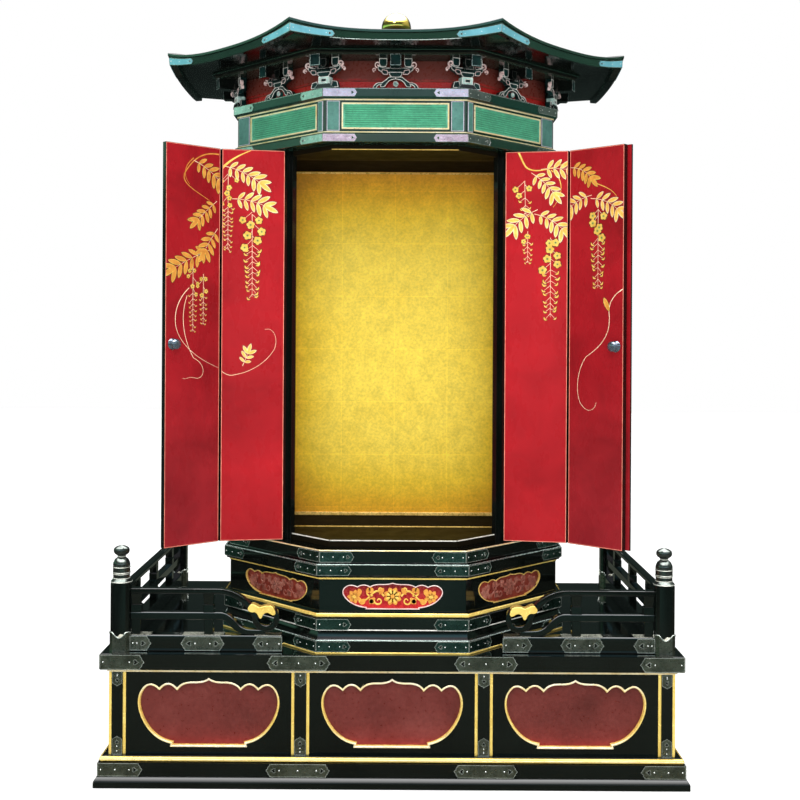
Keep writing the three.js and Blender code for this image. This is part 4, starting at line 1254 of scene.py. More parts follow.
WALL_OUT = 290.6
LEAF_WIDTH = WALL_OUT * TAN
LEAF_FACE = 10.8
LEAF_LOW, LEAF_HIGH = reach_of("door_inner_leaf_right")[0][2], reach_of("door_inner_leaf_right")[1][2]
JAMB_PIN = (WALL_OUT * cos(EIGHTH), PLAN_Y - WALL_OUT * cos(EIGHTH))
JAMB_TURN = radians(-9.7)
FOLD_TURN = radians(-42.6)
KNOB_IN = 16.75


def leaf_place(side, which):
    """The red face's frame as it is seen: X runs right along the leaf, -Y out of the red face."""
    x = side * (JAMB_PIN[0] + (LEAF_WIDTH * cos(JAMB_TURN) if which == "outer" else 0))
    y = JAMB_PIN[1] + (LEAF_WIDTH * sin(JAMB_TURN) if which == "outer" else 0)
    angle = JAMB_TURN if which == "inner" else FOLD_TURN
    place = shift(x, y) @ turn(side * angle)
    return place @ shift(-LEAF_WIDTH if side < 0 else 0, -LEAF_FACE)


def leaf_span(side, which):
    """Where the red face starts and ends along its leaf."""
    mitre = LEAF_FACE * TAN + 0.35
    near, far = (0.3, LEAF_WIDTH - mitre) if which == "inner" else (mitre, LEAF_WIDTH - 0.75)
    return (near, far) if side > 0 else (LEAF_WIDTH - far, LEAF_WIDTH - near)


LEAVES = [(side, name, which) for side, name in ((-1, "left"), (1, "right")) for which in ("inner", "outer")]


class SHRINE_OT_doors(bpy.types.Operator):
    """Lacquer the four door leaves, red within and black without, with their gilt edge lines and knobs"""
    bl_idname = "shrine.doors"
    bl_label = "Doors"

    def execute(self, context):
        wide = size_of("line")
        for side, name, which in LEAVES:
            node = "door_%s_leaf_%s" % (which, name)
            body = "%s_%s_leaf" % (name, which)
            place = leaf_place(side, which)
            piece = paint(fine_copy(node, 0.7), "black")
            # The outer leaves take the darker copy of the red: painted shade.
            piece.data.materials.append(finish_of("door_red" if which == "inner" else "outer_door_red"))
            outward = place.to_3x3() @ Vector((0, -1, 0))
            for face in piece.data.polygons:
                if face.normal.dot(outward) > 0.999:
                    face.material_index = 1
            settle(piece, node + "_lacquer", body, [node])
            x0, x1 = leaf_span(side, which)
            outer = rect(x0 + 0.7, x1 - 0.7, LEAF_LOW + 0.7, LEAF_HIGH - 0.7)
            line = band(outer, grown(outer, -wide), 0.35, 0.12, 1, back=0.15)
            line.data.transform(place)
            settle(paint(line, "spray_rose"), node + "_edge_line", body)
            if which == "outer":
                self.knob(side, name, place, body)
        return {"FINISHED"}

    def knob(self, side, name, place, body):
        """A turned pull on its round rose."""
        profile = [(0, -0.6), (10, -0.6), (10.2, 0.4), (9.4, 1.3), (5.2, 2.0), (3.9, 3.0), (3.8, 6.2), (5.4, 8.0),
                   (8.4, 9.6), (9.5, 11.4), (9.0, 13.4), (6.2, 15.2), (2.6, 15.9), (0, 16.0)]
        piece = paint(turned(profile, 32, 50), "knob")
        node = "door_knob_" + name
        low, high = reach_of(node)
        along = LEAF_WIDTH - KNOB_IN if side > 0 else KNOB_IN
        height = (low[2] + high[2]) / 2
        piece.data.transform(place @ shift(along, -0.3, height) @ turn(pi / 2, "X"))
        settle(piece, node + "_turned", body, [node])


# ---- the doors' gold sprays


class Spray:
    """One leaf's spray: its pieces are gathered by finish and laid on the red face."""

    def __init__(self, seed, relief_high):
        self.chance = random.Random(seed)
        self.high = relief_high
        self.made = {}
        self.lines = []

    def add(self, kind, place):
        places = self.made.setdefault(kind, [])
        places.append(shift(0, -0.035 * (len(places) % 8)) @ place)

    def leaflet(self, x, z, angle, long, kind="leaf"):
        scale = long / 20
        self.add(kind, shift(x, 0, z) @ turn(-angle, "Y") @ Matrix.Scale(scale, 4, (1, 0, 0))
                 @ Matrix.Scale(0.28 + 0.64 * scale, 4, (0, 0, 1)))

    def fronds(self, kind, *rows):
        for row in rows:
            self.frond(kind, *row)

    def frond(self, kind, x, z, angle, long, pairs, bend):
        """A feathered leaf: paired leaflets along a bending stem, the outermost largest."""
        line = []
        for i in range(pairs + 1):
            heading = angle + bend * i / pairs
            line.append((x, z, heading))
            x += long / pairs * cos(heading)
            z += long / pairs * sin(heading)
        self.stem([(p[0], p[1]) for p in line], 1.0)
        size = long / pairs * 1.95
        for i, (px, pz, heading) in enumerate(line):
            share = i / pairs
            for way in (1, -1) if i else ():
                below = sin(heading + way * 0.9) < sin(heading)
                lean = way * ((1.25 - 0.40 * share if below else 0.95 - 0.25 * share)
                              + self.chance.uniform(-0.08, 0.08))
                reach = size * (0.72 + 0.42 * share) * self.chance.uniform(0.92, 1.08)
                self.leaflet(px, pz, heading + lean, reach, kind)
        self.leaflet(*line[-1], size * 1.3, kind)

    def stem(self, points, wide, finish="spray_pale", taper=0.4):
        self.lines.append((points, wide, finish, taper))

    def tress(self, x, z, long, wide, sway=0.0, pitch=9.0):
        """A hanging tress: open blossoms above, then pairs of crescent buds on their stalks."""
        steps = int(long / pitch)
        line = [(x + sway * 14 * sin(1.5 * i / steps), z - long * i / steps) for i in range(steps + 1)]
        self.stem(line, 0.9, taper=0.6)
        for i, (px, pz) in enumerate(line[1:], 1):
            t = i / steps
            for way in (-1, 1):
                open_here = t < 0.42
                if open_here and (i + (way > 0)) % 2 and i > 1:
                    continue
                reach = wide / 2 * (1.25 - 0.4 * t if open_here else 1.0 - 0.55 * t)
                far = way * reach * self.chance.uniform(*((0.05, 1.1) if open_here else (0.75, 1.0)))
                bx, bz = px + far, pz + self.chance.uniform(-3.5, 3.5) - (abs(far) * 0.25 if open_here else 0)
                rise = abs(far) * 0.8
                long_stalk = hypot(far, bz - pz - rise)
                self.add("stalk", shift(px, 0, pz + rise) @ turn(-atan2(bz - pz - rise, far), "Y")
                         @ Matrix.Scale(long_stalk / 10, 4, (1, 0, 0)))
                size = (1.28 if open_here else 1.35 - 0.45 * t) * min(1.1, wide / 32)
                size *= self.chance.uniform(0.9, 1.1)
                if open_here:
                    self.add("blossom", shift(bx, 0, bz) @ turn(self.chance.uniform(0, 1.2), "Y")
                             @ Matrix.Scale(size, 4))
                else:
                    self.add("bud", shift(bx, 0, bz) @ Matrix.Scale(way, 4, (1, 0, 0))
                             @ turn(self.chance.uniform(-0.25, 0.25), "Y") @ Matrix.Scale(size, 4))

    def tendril(self, *corners, wide=1.1, finish="spray_pale"):
        """A thin trailing shoot: its start, then each curve's two control points and end."""
        points = []
        for i in range(0, len(corners) - 1, 3):
            points += bezier(*corners[i:i + 4], 14)[1 if points else 0:]
        self.stem(points, wide, finish, 0.7)

    def layer(self, outline, share, finish, back=0.1):
        """A flat shape on the lacquer, a share of the relief thick, with its back at Y = back."""
        return paint(plate(outline, self.high * share, 0.0, back=back), finish)

    def pieces(self):
        """The masters are shaped once each; every sprig is a copy of one of them."""
        masters = {
            "leaf": (self.leaf, "spray_gold", "spray_pale"),
            "leaf_orange": (self.leaf, "spray_orange", "spray_gold"),
            "blossom": (self.blossom, "spray_gold", "spray_green"),
            "bud": (self.bud, "spray_gold"),
            "stalk": (self.stalk, "spray_pale"),
        }
        done = []
        for kind, places in self.made.items():
            shape, *finishes = masters[kind]
            done.append(copied(shape(*finishes), places))
        for points, wide, finish, taper in self.lines:
            done.append(self.layer(ribbon(points, lambda t: wide * (1 - taper * t)), 0.8, finish))
        return done

    def leaf(self, first, second):
        """A pointed leaflet 20 long with a pale outline under its body and a fine midrib."""
        layers = [(21.4, 9.0, -0.7, 0.1, "spray_shadow"), (20, 7.6, 0, 0.02, second),
                  (17.8, 5.9, 0.9, 0.1 - self.high * 0.5, first)]
        made = [self.layer([(x + start, z) for x, z in oval(long, wide)], 0.5, finish, back)
                for long, wide, start, back, finish in layers]
        made.append(self.layer([(1.5, -0.3), (15, -0.15), (15, 0.15), (1.5, 0.3)], 0.3, "spray_orange",
                               0.1 - self.high * 0.9))
        return joined(made)

    def blossom(self, first, second):
        """Five round petals about a green eye, 10 across."""
        made = [self.layer(circle(5.7, 12), 0.4, "spray_shadow")]
        for i in range(5):
            petal = laid(round_petal(5.2, 4.4), 0, 0, pi / 2 + 2 * pi * i / 5)
            made.append(self.layer(petal, 0.5, first, 0.1 - self.high * 0.3))
        for radius, high, finish in ((1.9, 0.9, second), (0.8, 1.0, "spray_shadow")):
            made.append(self.layer(circle(radius, 8), 0.3, finish, 0.1 - self.high * high))
        return joined(made)

    def bud(self, first):
        shape = [(3.4, 2.8), (3.3, 0.0), (1.8, -2.3), (-0.8, -2.7), (-3.4, -1.0), (-1.4, -0.9), (0.4, -0.3),
                 (1.5, 0.8), (2.2, 2.0)]
        shade = self.layer(grown(shape, 0.7), 0.4, "spray_shadow")
        return joined([self.layer(shape, 0.5, first, 0.1 - self.high * 0.3), shade])

    def stalk(self, first):
        return self.layer([(0, -0.35), (10, -0.25), (10, 0.25), (0, 0.35)], 0.5, first)


def oval(long, wide):
    """A leaflet's oval outline from its stem at X 0 to its blunt point."""
    upper = [(long * i / 8, wide / 2 * (4 * i / 8 * (1 - i / 8)) ** 0.72) for i in range(1, 8)]
    return [(0, 0), *upper, (long, 0), *((x, -z) for x, z in reversed(upper))]


def round_petal(long, wide):
    half = [(0, 0)] + curve((0, 0), (long * 0.3, wide * 0.8), (long * 0.78, wide * 0.46), 3)
    half.append((long, wide * 0.12))
    return half + [(x, -z) for x, z in reversed(half[1:])]


def spray_layouts(high):
    """The four leaves' own compositions, each from its leaf's left edge and the floor."""
    sprays = {}
    spray = sprays[(-1, "inner")] = Spray(11, high)
    spray.tendril((3, 1094), (20, 1112), (34, 1120), (58, 1130), wide=4.4, finish="spray_gold")
    spray.fronds("leaf", (8, 1100, -0.22, 70, 6, -0.45), (22, 1040, 0.0, 60, 5, -0.45))
    spray.tress(16, 1084, 138, 24, 0.0, 8.0)
    spray.tress(60, 1012, 152, 36, 0.05, 9.5)
    spray.tendril((1, 727), (14, 716), (22, 714), (30, 717), (64, 722), (92, 744), (103, 766), (110, 788),
                  (98, 806), (84, 800))
    spray.frond("leaf", 44, 733, 1.15, 24, 3, 0.1)
    spray = sprays[(-1, "outer")] = Spray(12, high)
    spray.tendril((112, 1120), (84, 1122), (60, 1112), (40, 1080), (30, 1060), (62, 1050), (92, 1034),
                  wide=2.6, finish="spray_orange")
    spray.tendril((58, 1108), (40, 1094), (34, 1076), (50, 1060), wide=1.6, finish="spray_orange")
    spray.fronds("leaf_orange", (58, 1104, -0.35, 60, 5, -0.4), (108, 1034, -2.45, 52, 5, 0.1),
                 (110, 984, -2.2, 46, 4, 0.1), (92, 944, -2.75, 78, 6, 0.15))
    spray.tress(58, 912, 116, 20, 0.0, 8.5)
    spray.tress(80, 900, 92, 20, 0.0, 8.5)
    spray.tendril((50, 874), (22, 850), (18, 820), (24, 800), (32, 776), (60, 748), (118, 728), wide=1.4)
    spray.tendril((46, 860), (30, 820), (40, 780), (60, 748), (90, 736), (84, 706), (62, 712), (50, 716),
                  (44, 708), (37, 712))
    spray = sprays[(1, "inner")] = Spray(13, high)
    spray.tendril((24, 1130), (34, 1112), (34, 1102), (46, 1098), (62, 1092), (90, 1100), (117, 1112),
                  wide=3.6, finish="spray_gold")
    spray.tendril((84, 1096), (108, 1082), (108, 1050), (88, 1028), wide=1.8, finish="spray_gold")
    spray.fronds("leaf", (48, 1092, -0.6, 54, 5, -0.35), (66, 1098, 0.1, 46, 4, -0.3),
                 (60, 1024, -2.7, 50, 4, 0.4), (54, 1016, -0.25, 58, 5, -0.6))
    spray.tress(36, 1076, 62, 30, 0.1, 11.0)
    spray.tress(42, 984, 58, 22, 0.0, 8.0)
    spray.tress(84, 972, 146, 38, 0.0, 9.5)
    spray = sprays[(1, "outer")] = Spray(14, high)
    spray.frond("leaf_orange", 4, 1100, -0.1, 50, 5, -0.8)
    spray.fronds("leaf", (52, 1046, -2.95, 46, 4, 0.45), (50, 1040, -0.1, 60, 5, -0.7))
    spray.tendril((30, 1086), (56, 1062), (90, 1062), (104, 1040), wide=2.2, finish="spray_gold")
    spray.tress(66, 1020, 142, 34, 0.0, 9.5)
    spray.tendril((121, 876), (98, 866), (88, 850), (90, 832), (94, 796), (78, 776), (42, 754), (24, 734),
                  (18, 690), (30, 670), (42, 652), (60, 654), (64, 672), wide=1.4)
    spray.leaflet(90, 836, 2.0, 27, "leaf_orange")
    return sprays


class SHRINE_OT_sprays(bpy.types.Operator):
    """Lay the raised gold sprays of leaves and hanging blossom on the doors' red faces"""
    bl_idname = "shrine.sprays"
    bl_label = "Gold Sprays"

    def execute(self, context):
        layouts = spray_layouts(size_of("relief"))
        for side, name, which in LEAVES:
            spray = joined(layouts[(side, which)].pieces())
            spray = self.trimmed(spray, *leaf_span(side, which))
            spray.data.transform(leaf_place(side, which))
            settle(spray, "gold_spray_%s_%s" % (which, name), "%s_%s_leaf" % (name, which))
        return {"FINISHED"}

    def trimmed(self, spray, x0, x1):
        """Cuts off what would run past the leaf's edges."""
        for place, normal in (((x0 + 1.6, 0, 0), (-1, 0, 0)), ((x1 - 1.6, 0, 0), (1, 0, 0)),
                              ((0, 0, LEAF_HIGH - 2), (0, 0, 1))):
            cropped(spray, place, normal)
        return spray


# ---- the frieze

LOUVRE = {"width": 190, "z": (1157, 1203), "sink": 6, "slats": 10, "forward": 10}


class SHRINE_OT_frieze(bpy.types.Operator):
    """Finish the frieze's beams and wall and build its framed louvres"""
    bl_idname = "shrine.frieze"
    bl_label = "Frieze"

    def execute(self, context):
        # The fascia and beam lacquers are tinted green: a painted green sheen.
        for name, finish in (("lower_beam", "fascia"), ("wall", "fascia"), ("upper_beam", "beam")):
            lacquered("frieze_" + name, 0.8, finish)
        wall, beam = apothem_of("frieze_wall"), apothem_of("frieze_upper_beam")
        foot, head = reach_of("frieze_wall")[0][2], reach_of("frieze_wall")[1][2]
        low = reach_of("frieze_lower_beam")[0][2]
        top = reach_of("frieze_upper_beam")[1][2]
        lines = [course_strip(wall + 1.2, foot, foot + 2.2, "cream"),
                 course_strip(wall + 1.2, head - 2.4, head, "cream")]
        settle(joined(lines), "frieze_gilt_lines")
        # The pale line along the upper beam's top edge is a painted highlight.
        pale = [course_strip(beam + 0.3, top - 1.4, top + 0.15, "silver")]
        near, far = LOUVRE["width"] / 2 + 4, wall * TAN - 4
        for side in (-1, 0, 1):
            move = -side * LOUVRE["forward"]
            for x0, x1 in ((-far, move - near), (move + near, far)):
                pale.append(face_bar(side, wall, x0, x1, foot + 3.2, head - 3.4, 1.2, 0.5, "lavender", 0.4))
                pale.append(face_bar(side, wall, x0 + 1.3, x1 - 1.3, foot + 4.5, head - 4.7, 1.7, 0.5,
                                     "grey_green"))
        settle(joined(pale), "frieze_corner_strips")
        course_clasps(beam, (head + top) / 2 + 1.2, 14.5, "upper_beam_fittings", "frieze_fitting")
        course_clasps(apothem_of("frieze_lower_beam"), low + 7.2, 13.5, "lower_beam_fittings", "frieze_fitting")
        for name, side in (("left", -1), ("front", 0), ("right", 1)):
            panel = self.louvre()
            place = on_face(side, wall, -side * LOUVRE["forward"])
            panel.data.transform(place)
            settle(panel, "louvre_slats_" + name, stands_for=["louvre_panel_" + name])
            frame_band = self.frame()
            frame_band.data.transform(place)
            settle(frame_band, "louvre_frame_" + name)
        return {"FINISHED"}

    def louvre(self):
        """Slats that lean outwards at their feet, before a dark board."""
        z0, z1 = LOUVRE["z"]
        half = LOUVRE["width"] / 2 - 1
        pitch = (z1 - z0 - 7) / LOUVRE["slats"]
        slat = bar(-half + 3, half - 3, -1.0, 1.0, -pitch * 0.42, pitch * 0.42, 0.4, 1)
        slat.data.transform(turn(radians(-24), "X"))
        paint(slat, "jade")
        places = [shift(0, LOUVRE["sink"] - 3.4, z0 + 3.5 + pitch * (i + 0.5)) for i in range(LOUVRE["slats"])]
        board = paint(bar(-half + 0.6, half - 0.6, LOUVRE["sink"] - 1.5, LOUVRE["sink"] - 0.3, z0 + 0.6, z1 - 0.6,
                          0.2), "jade_dark")
        outer = rect(-half + 0.6, half - 0.6, z0 + 0.6, z1 - 0.6)
        rim = paint(band(outer, grown(outer, -3.2), 5.2, 0.5, 2, back=LOUVRE["sink"] - 0.6),
                    "jade_pale")
        return joined([copied(slat, places), board, rim])

    def frame(self):
        z0, z1 = LOUVRE["z"]
        half = LOUVRE["width"] / 2
        edge = rect(-half, half, z0, z1)
        return paint(band(grown(edge, 0.5), grown(edge, -2.2), 3.2, 0.6, 2, back=1.6), "cream")


# ---- the bracket tier

BOARD = apothem_of("bracket_ground_board")
BEAM_TOP = reach_of("bracket_ground_board")[0][2]
CEILING = reach_of("bracket_tier")[1][2] - 3
TIER_BACK = reach_of("bracket_tier")[1][1]
CEILING_APOTHEM = apothem_of("bracket_tier")


def outlined(outline, depth, back, finish, edge="shell_white", wide=0.65):
    """A painted bracket piece with its face's edge picked out in a fine line."""
    body = paint(plate(outline, depth, 0.4, 1, back=back), finish)
    line = band(grown(outline, 0.1), grown(outline, -wide), 0.6, 0.1, 1, back=back - depth + 0.2)
    return [body, paint(line, edge)]


def sided(side, points):
    """An outline made for the right, or its mirror for the left."""
    return [(side * x, z) for x, z in points][::side]


def nose(side, x, z, size):
    """A curled bracket end: a hook that rolls over on itself."""
    curl = spiral(0, 0, size, 1.15, -1.4, 1, size * 0.27, 16)
    return paint(plate([(side * (u + x), v + z) for u, v in curl], 5.0, 0.5, 2, back=-14.5), "pink_line")


def arm(reach, z0, z1):
    """A bracket arm's outline: its underside rises and its ends turn up."""
    half = [(0, z0), (reach * 0.42, z0)] + curve((reach * 0.42, z0), (reach * 0.86, z0 + 0.4), (reach, z0 + 5.4), 5)
    half += [(reach, z1 + 3.6), (reach - 5, z1 + 1.2)]
    half += curve((reach - 5, z1 + 1.2), (reach - 9, z1), (reach - 12, z1), 3)
    return half[1:] + [(-x, z) for x, z in reversed(half[1:])]


class SHRINE_OT_brackets(bpy.types.Operator):
    """Build the painted bracket stacks, the red board behind them and the dark ceiling over them"""
    bl_idname = "shrine.brackets"
    bl_label = "Bracket Tier"

    def execute(self, context):
        red = paint(fine_copy("bracket_ground_board", 0.3), "tier_red")
        settle(red, "bracket_ground_red", stands_for=["bracket_ground_board"])
        lines = []
        half = BOARD * TAN
        for side in (-2, -1, 0, 1, 2):
            reach = half if abs(side) < 2 else 60
            lines.append(face_bar(side, BOARD, -reach, reach, 1243.6, 1246.2, 0.8, 0.3, "carved_red"))
            # The pale line over the beam's top is a painted highlight.
            lines.append(face_bar(side, BOARD, -reach, reach, BEAM_TOP + 0.1, BEAM_TOP + 2.2, 1.8, 0.3,
                                  "shell_white"))
        settle(joined(lines), "bracket_ground_lines")
        ceiling = paint(slab(plan(CEILING_APOTHEM, TIER_BACK), CEILING, CEILING + 3, 0.4), "ceiling")
        settle(ceiling, "bracket_ceiling", stands_for=["bracket_tier"])
        apothem = BOARD + 0.5
        middle = joined(self.stack() + self.frog_legs())
        places = []
        for side in (-2, -1, 0, 1, 2):
            along = 0
            if abs(side) == 2:
                along = (TIER_BACK - PLAN_Y - apothem * TAN) / 2 * copysign(1, side)
            places.append(on_face(side, apothem, along))
        settle(copied(middle, places), "bracket_face_stacks")
        corner = joined(self.stack(24) + self.corner_foot())
        places = [on_face(side, apothem / cos(EIGHTH / 2) + 0.5) for side in (-1.5, -0.5, 0.5, 1.5)]
        settle(copied(corner, places), "bracket_corner_stacks")
        return {"FINISHED"}

    def stack(self, foot=22):
        """The bearing, the cross arm, the projecting arm and the small bearings of one stack."""
        made = []
        made += outlined([(-foot * 0.32, 1248), (foot * 0.32, 1248), (foot * 0.5, 1252), (foot * 0.5, 1257),
                          (-foot * 0.5, 1257), (-foot * 0.5, 1252)], 12, -7, "deep_teal")
        made += outlined(arm(31, 1256.2, 1264.5), 10, -8, "deep_teal")
        out = CEILING_APOTHEM - BOARD - 2
        made.append(paint(bar(-10, 10, -out, -0.5, 1260, CEILING + 1, 1.0, 2), "black"))
        made += outlined(rect(-9.2, 9.2, 1261, CEILING - 0.4), 0.8, -out, "deep_teal", "silver", 0.9)
        for side in (-1, 1):
            made += outlined(sided(side, [(17.5, 1266.5), (26.5, 1266.5), (29, 1271), (29, CEILING),
                                          (15.5, CEILING), (15.5, 1271)]), 12, -7, "deep_teal")
            made.append(nose(side, 31.5, 1270.5, 6.0))
            made += outlined(sided(side, [(13.5, 1252.6), (21, 1252.2), (25, 1256), (24, 1261), (15, 1259.5)]),
                             8, -13, "deep_teal", "pink_line")
            made.append(nose(side, 37.5, 1261.5, 3.8))
        return made

    def frog_legs(self):
        """The openwork strut: two curled legs that meet over a small rosette."""
        z0, z1 = BEAM_TOP, 1249
        leg = [(11.5, z1), (0, z1), (0, z1 - 4.2)] + curve((0, z1 - 4.2), (12, z1 - 4.5), (16.5, z0 + 8), 5)
        leg += curve(leg[-1], (19, z0 + 1.8), (25.5, z0 + 2.8), 4)
        leg += curve(leg[-1], (29.5, z0 + 4.6), (26, z0 + 7.2), 4)
        leg += curve(leg[-1], (33.5, z0 + 6.5), (34.5, z0 + 0.4), 4) + [(41, z0 + 0.4)]
        leg += curve(leg[-1], (36.5, z0 + 12.5), (25, z0 + 10.5), 5)
        leg += curve(leg[-1], (20, z0 + 14), (16, z1 - 4), 4)
        made = []
        for side in (-1, 1):
            made += outlined(sided(side, leg), 9, -8, "deep_teal", wide=0.8)
        made += outlined(circle(4.6, 16, 0, z0 + 8.6), 8, -9, "teal")
        for i in range(6):
            petal = laid(round_petal(3.4, 2.8), 0, z0 + 8.6, i * pi / 3)
            made.append(paint(plate(petal, 1.2, 0.0, back=-16.8), "teal_pale"))
        return made

    def corner_foot(self):
        """The corner's tall bearing on its sloping base, with a diagonal arm's curled end."""
        base = [(-19, BEAM_TOP), (19, BEAM_TOP), (12, BEAM_TOP + 8), (-12, BEAM_TOP + 8)]
        made = outlined(base, 17, -3, "black", "silver")
        made += outlined(rect(-10.5, 10.5, BEAM_TOP + 8, 1248.4), 15, -4, "teal_pale")
        made += outlined(rect(-5.2, 5.2, BEAM_TOP + 11, 1245), 0.8, -19, "deep_teal")
        for side in (-1, 1):
            block_foot = [(13, BEAM_TOP + 1), (27, BEAM_TOP + 1), (24.5, BEAM_TOP + 11), (15, BEAM_TOP + 13)]
            made += outlined(sided(side, block_foot), 9, -7, "deep_teal")
        return made


# ---- the roof

ROOF = {"eave": apothem_of("roof"), "top": 1300.7, "bottom": 1283.7, "sweep_top": 20, "sweep_bottom": 13,
        "power": 2.6, "apex": 24}
ROOF_TOP = reach_of("roof")[1][2]


def sweep(t):
    """How far the eave is lifted at a place along a face, 0 in its middle and 1 at its corners."""
    return abs(t) ** ROOF["power"]


def eave_ring(apothem, height_at):
    """Points round the whole octagon, at a height that depends on the sweep."""
    half = apothem * TAN
    ring = []
    for side in range(8):
        c, s = cos(side * EIGHTH), sin(side * EIGHTH)
        for i in range(18):
            t = -1 + 2 * i / 18
            ring.append((c * t * half + s * apothem, PLAN_Y + s * t * half - c * apothem, height_at(sweep(t))))
    return ring


def eave_height(x, drop):
    """The fascia's height at a place along a face, down from its top by a share of its depth."""
    lift = sweep(max(-1, min(1, x / (ROOF["eave"] * TAN))))
    high = ROOF["top"] + ROOF["sweep_top"] * lift
    low = ROOF["bottom"] + ROOF["sweep_bottom"] * lift
    return high + (low - high) * drop


class SHRINE_OT_roof(bpy.types.Operator):
    """Sweep the roof up to its corners, edge it with its stepped fascia and cap it with its jewel"""
    bl_idname = "shrine.roof"
    bl_label = "Roof and Jewel"

    def execute(self, context):
        self.shell()
        self.fascia_fittings()
        self.mouldings()
        self.finial()
        return {"FINISHED"}

    def shell(self):
        top, bottom, eave = ROOF["top"], ROOF["bottom"], ROOF["eave"]
        up, down = ROOF["sweep_top"], ROOF["sweep_bottom"]
        rings = [eave_ring(CEILING_APOTHEM, lambda s: CEILING + 3), eave_ring(353, lambda s: CEILING + 8)]
        for inset, base, lift in ((18, bottom + 6.4, down), (17.4, bottom + 1.0, down), (16.4, bottom + 0.5, down),
                                  (5.2, bottom, down), (4.4, bottom + 0.7, down), (2.9, top - 5.6, up),
                                  (0.6, top - 5.0, up), (0, top - 4.3, up), (0, top - 0.8, up), (0.8, top, up)):
            rings.append(eave_ring(eave - inset, lambda s: base + lift * s))
        steps = 12
        for i in range(1, steps + 1):
            t = i / steps
            apothem = eave + (ROOF["apex"] - eave) * t
            rise = (ROOF_TOP - top) * (0.4 * t + 0.6 * t * t)
            rings.append(eave_ring(apothem, lambda s: top + rise + up * s * (1 - t) ** 2))
        roof = lofted(rings)
        cropped(roof, (0, ROOF_BACK, 0), (0, 1, 0))
        choose(roof)
        bpy.ops.object.shade_smooth_by_angle(angle=radians(16))
        paint(roof, "roof")
        # The fascia faces take the green-tinted lacquer: a painted green sheen.
        roof.data.materials.append(finish_of("fascia"))
        for face in roof.data.polygons:
            face.material_index = int(-0.8 < face.normal.z < 0.6 and face.normal.y < 0.9
                                      and face.center.z < (top + up + 2) * MM and face.area < 0.002)
        settle(roof, "roof_lacquer", stands_for=["roof"])

    def fascia_fittings(self):
        """Pierced fittings that follow the lifted eave, one on each side of every corner."""
        height, long = 14.0, 75
        master = clasp(long, height, (False, True), 0.8, "eave_fitting", steps=10)
        eave = ROOF["eave"] - 3.4
        half = eave * TAN
        for vertex in master.data.vertices:
            x, y, z = (c / MM for c in vertex.co)
            share = 0.64 - z / (height + 2.2) * 0.62
            vertex.co = [c * MM for c in (x - half, y + (share - 0.5) * 1.6, eave_height(x - half, share))]
        clasps_at(master, corner_places(eave), "eave_fittings")

    def mouldings(self):
        """Two fine beads where the ceiling meets the eave's underside, and a pale line under the front fascia's
        edge, a painted highlight.
        """
        lines = []
        for apothem, z in ((341, CEILING + 0.2), (351, CEILING + 6.2)):
            points = [(x, y, z) for x, y in plan(apothem, TIER_BACK - 1)]
            lines.append(paint(rod(points[3:] + points[:3], 0.9), "fascia"))
        settle(joined(lines), "ceiling_beads")
        # A pale line under the front fascia's edge: a painted highlight.
        points = [(x, PLAN_Y - ROOF["eave"] + 4.4, eave_height(x, 1.0) + 0.2) for x in range(-110, 111, 10)]
        settle(paint(rod(points, 0.6), "silver"), "eave_pale_line")

    def finial(self):
        """The gilded jewel on its collar."""
        profile = [(0, 0), (26.5, 0), (27, 0.8), (27, 3.2), (26, 4.2), (20.5, 5.4), (19, 7), (20.5, 9), (25, 12),
                   (28.2, 16), (29.8, 20.5), (30, 25), (29.4, 31), (27.8, 36.5), (25, 42), (20.6, 47), (14, 51.2),
                   (8, 53.8), (4.6, 55), (2.4, 56.2), (1.2, 57.4), (0, 58)]
        jewel = paint(turned(profile, 56, 40), "polished_gold")
        collar = [(x, y, 2.0) for x, y in circle(27.2, 48)]
        jewel = joined([jewel, paint(rod(collar, 1.2, True), "cream")])
        jewel.data.transform(shift(0, PLAN_Y, ROOF_TOP))
        settle(jewel, "roof_jewel", stands_for=["roof_finial"])


# ---- the stage


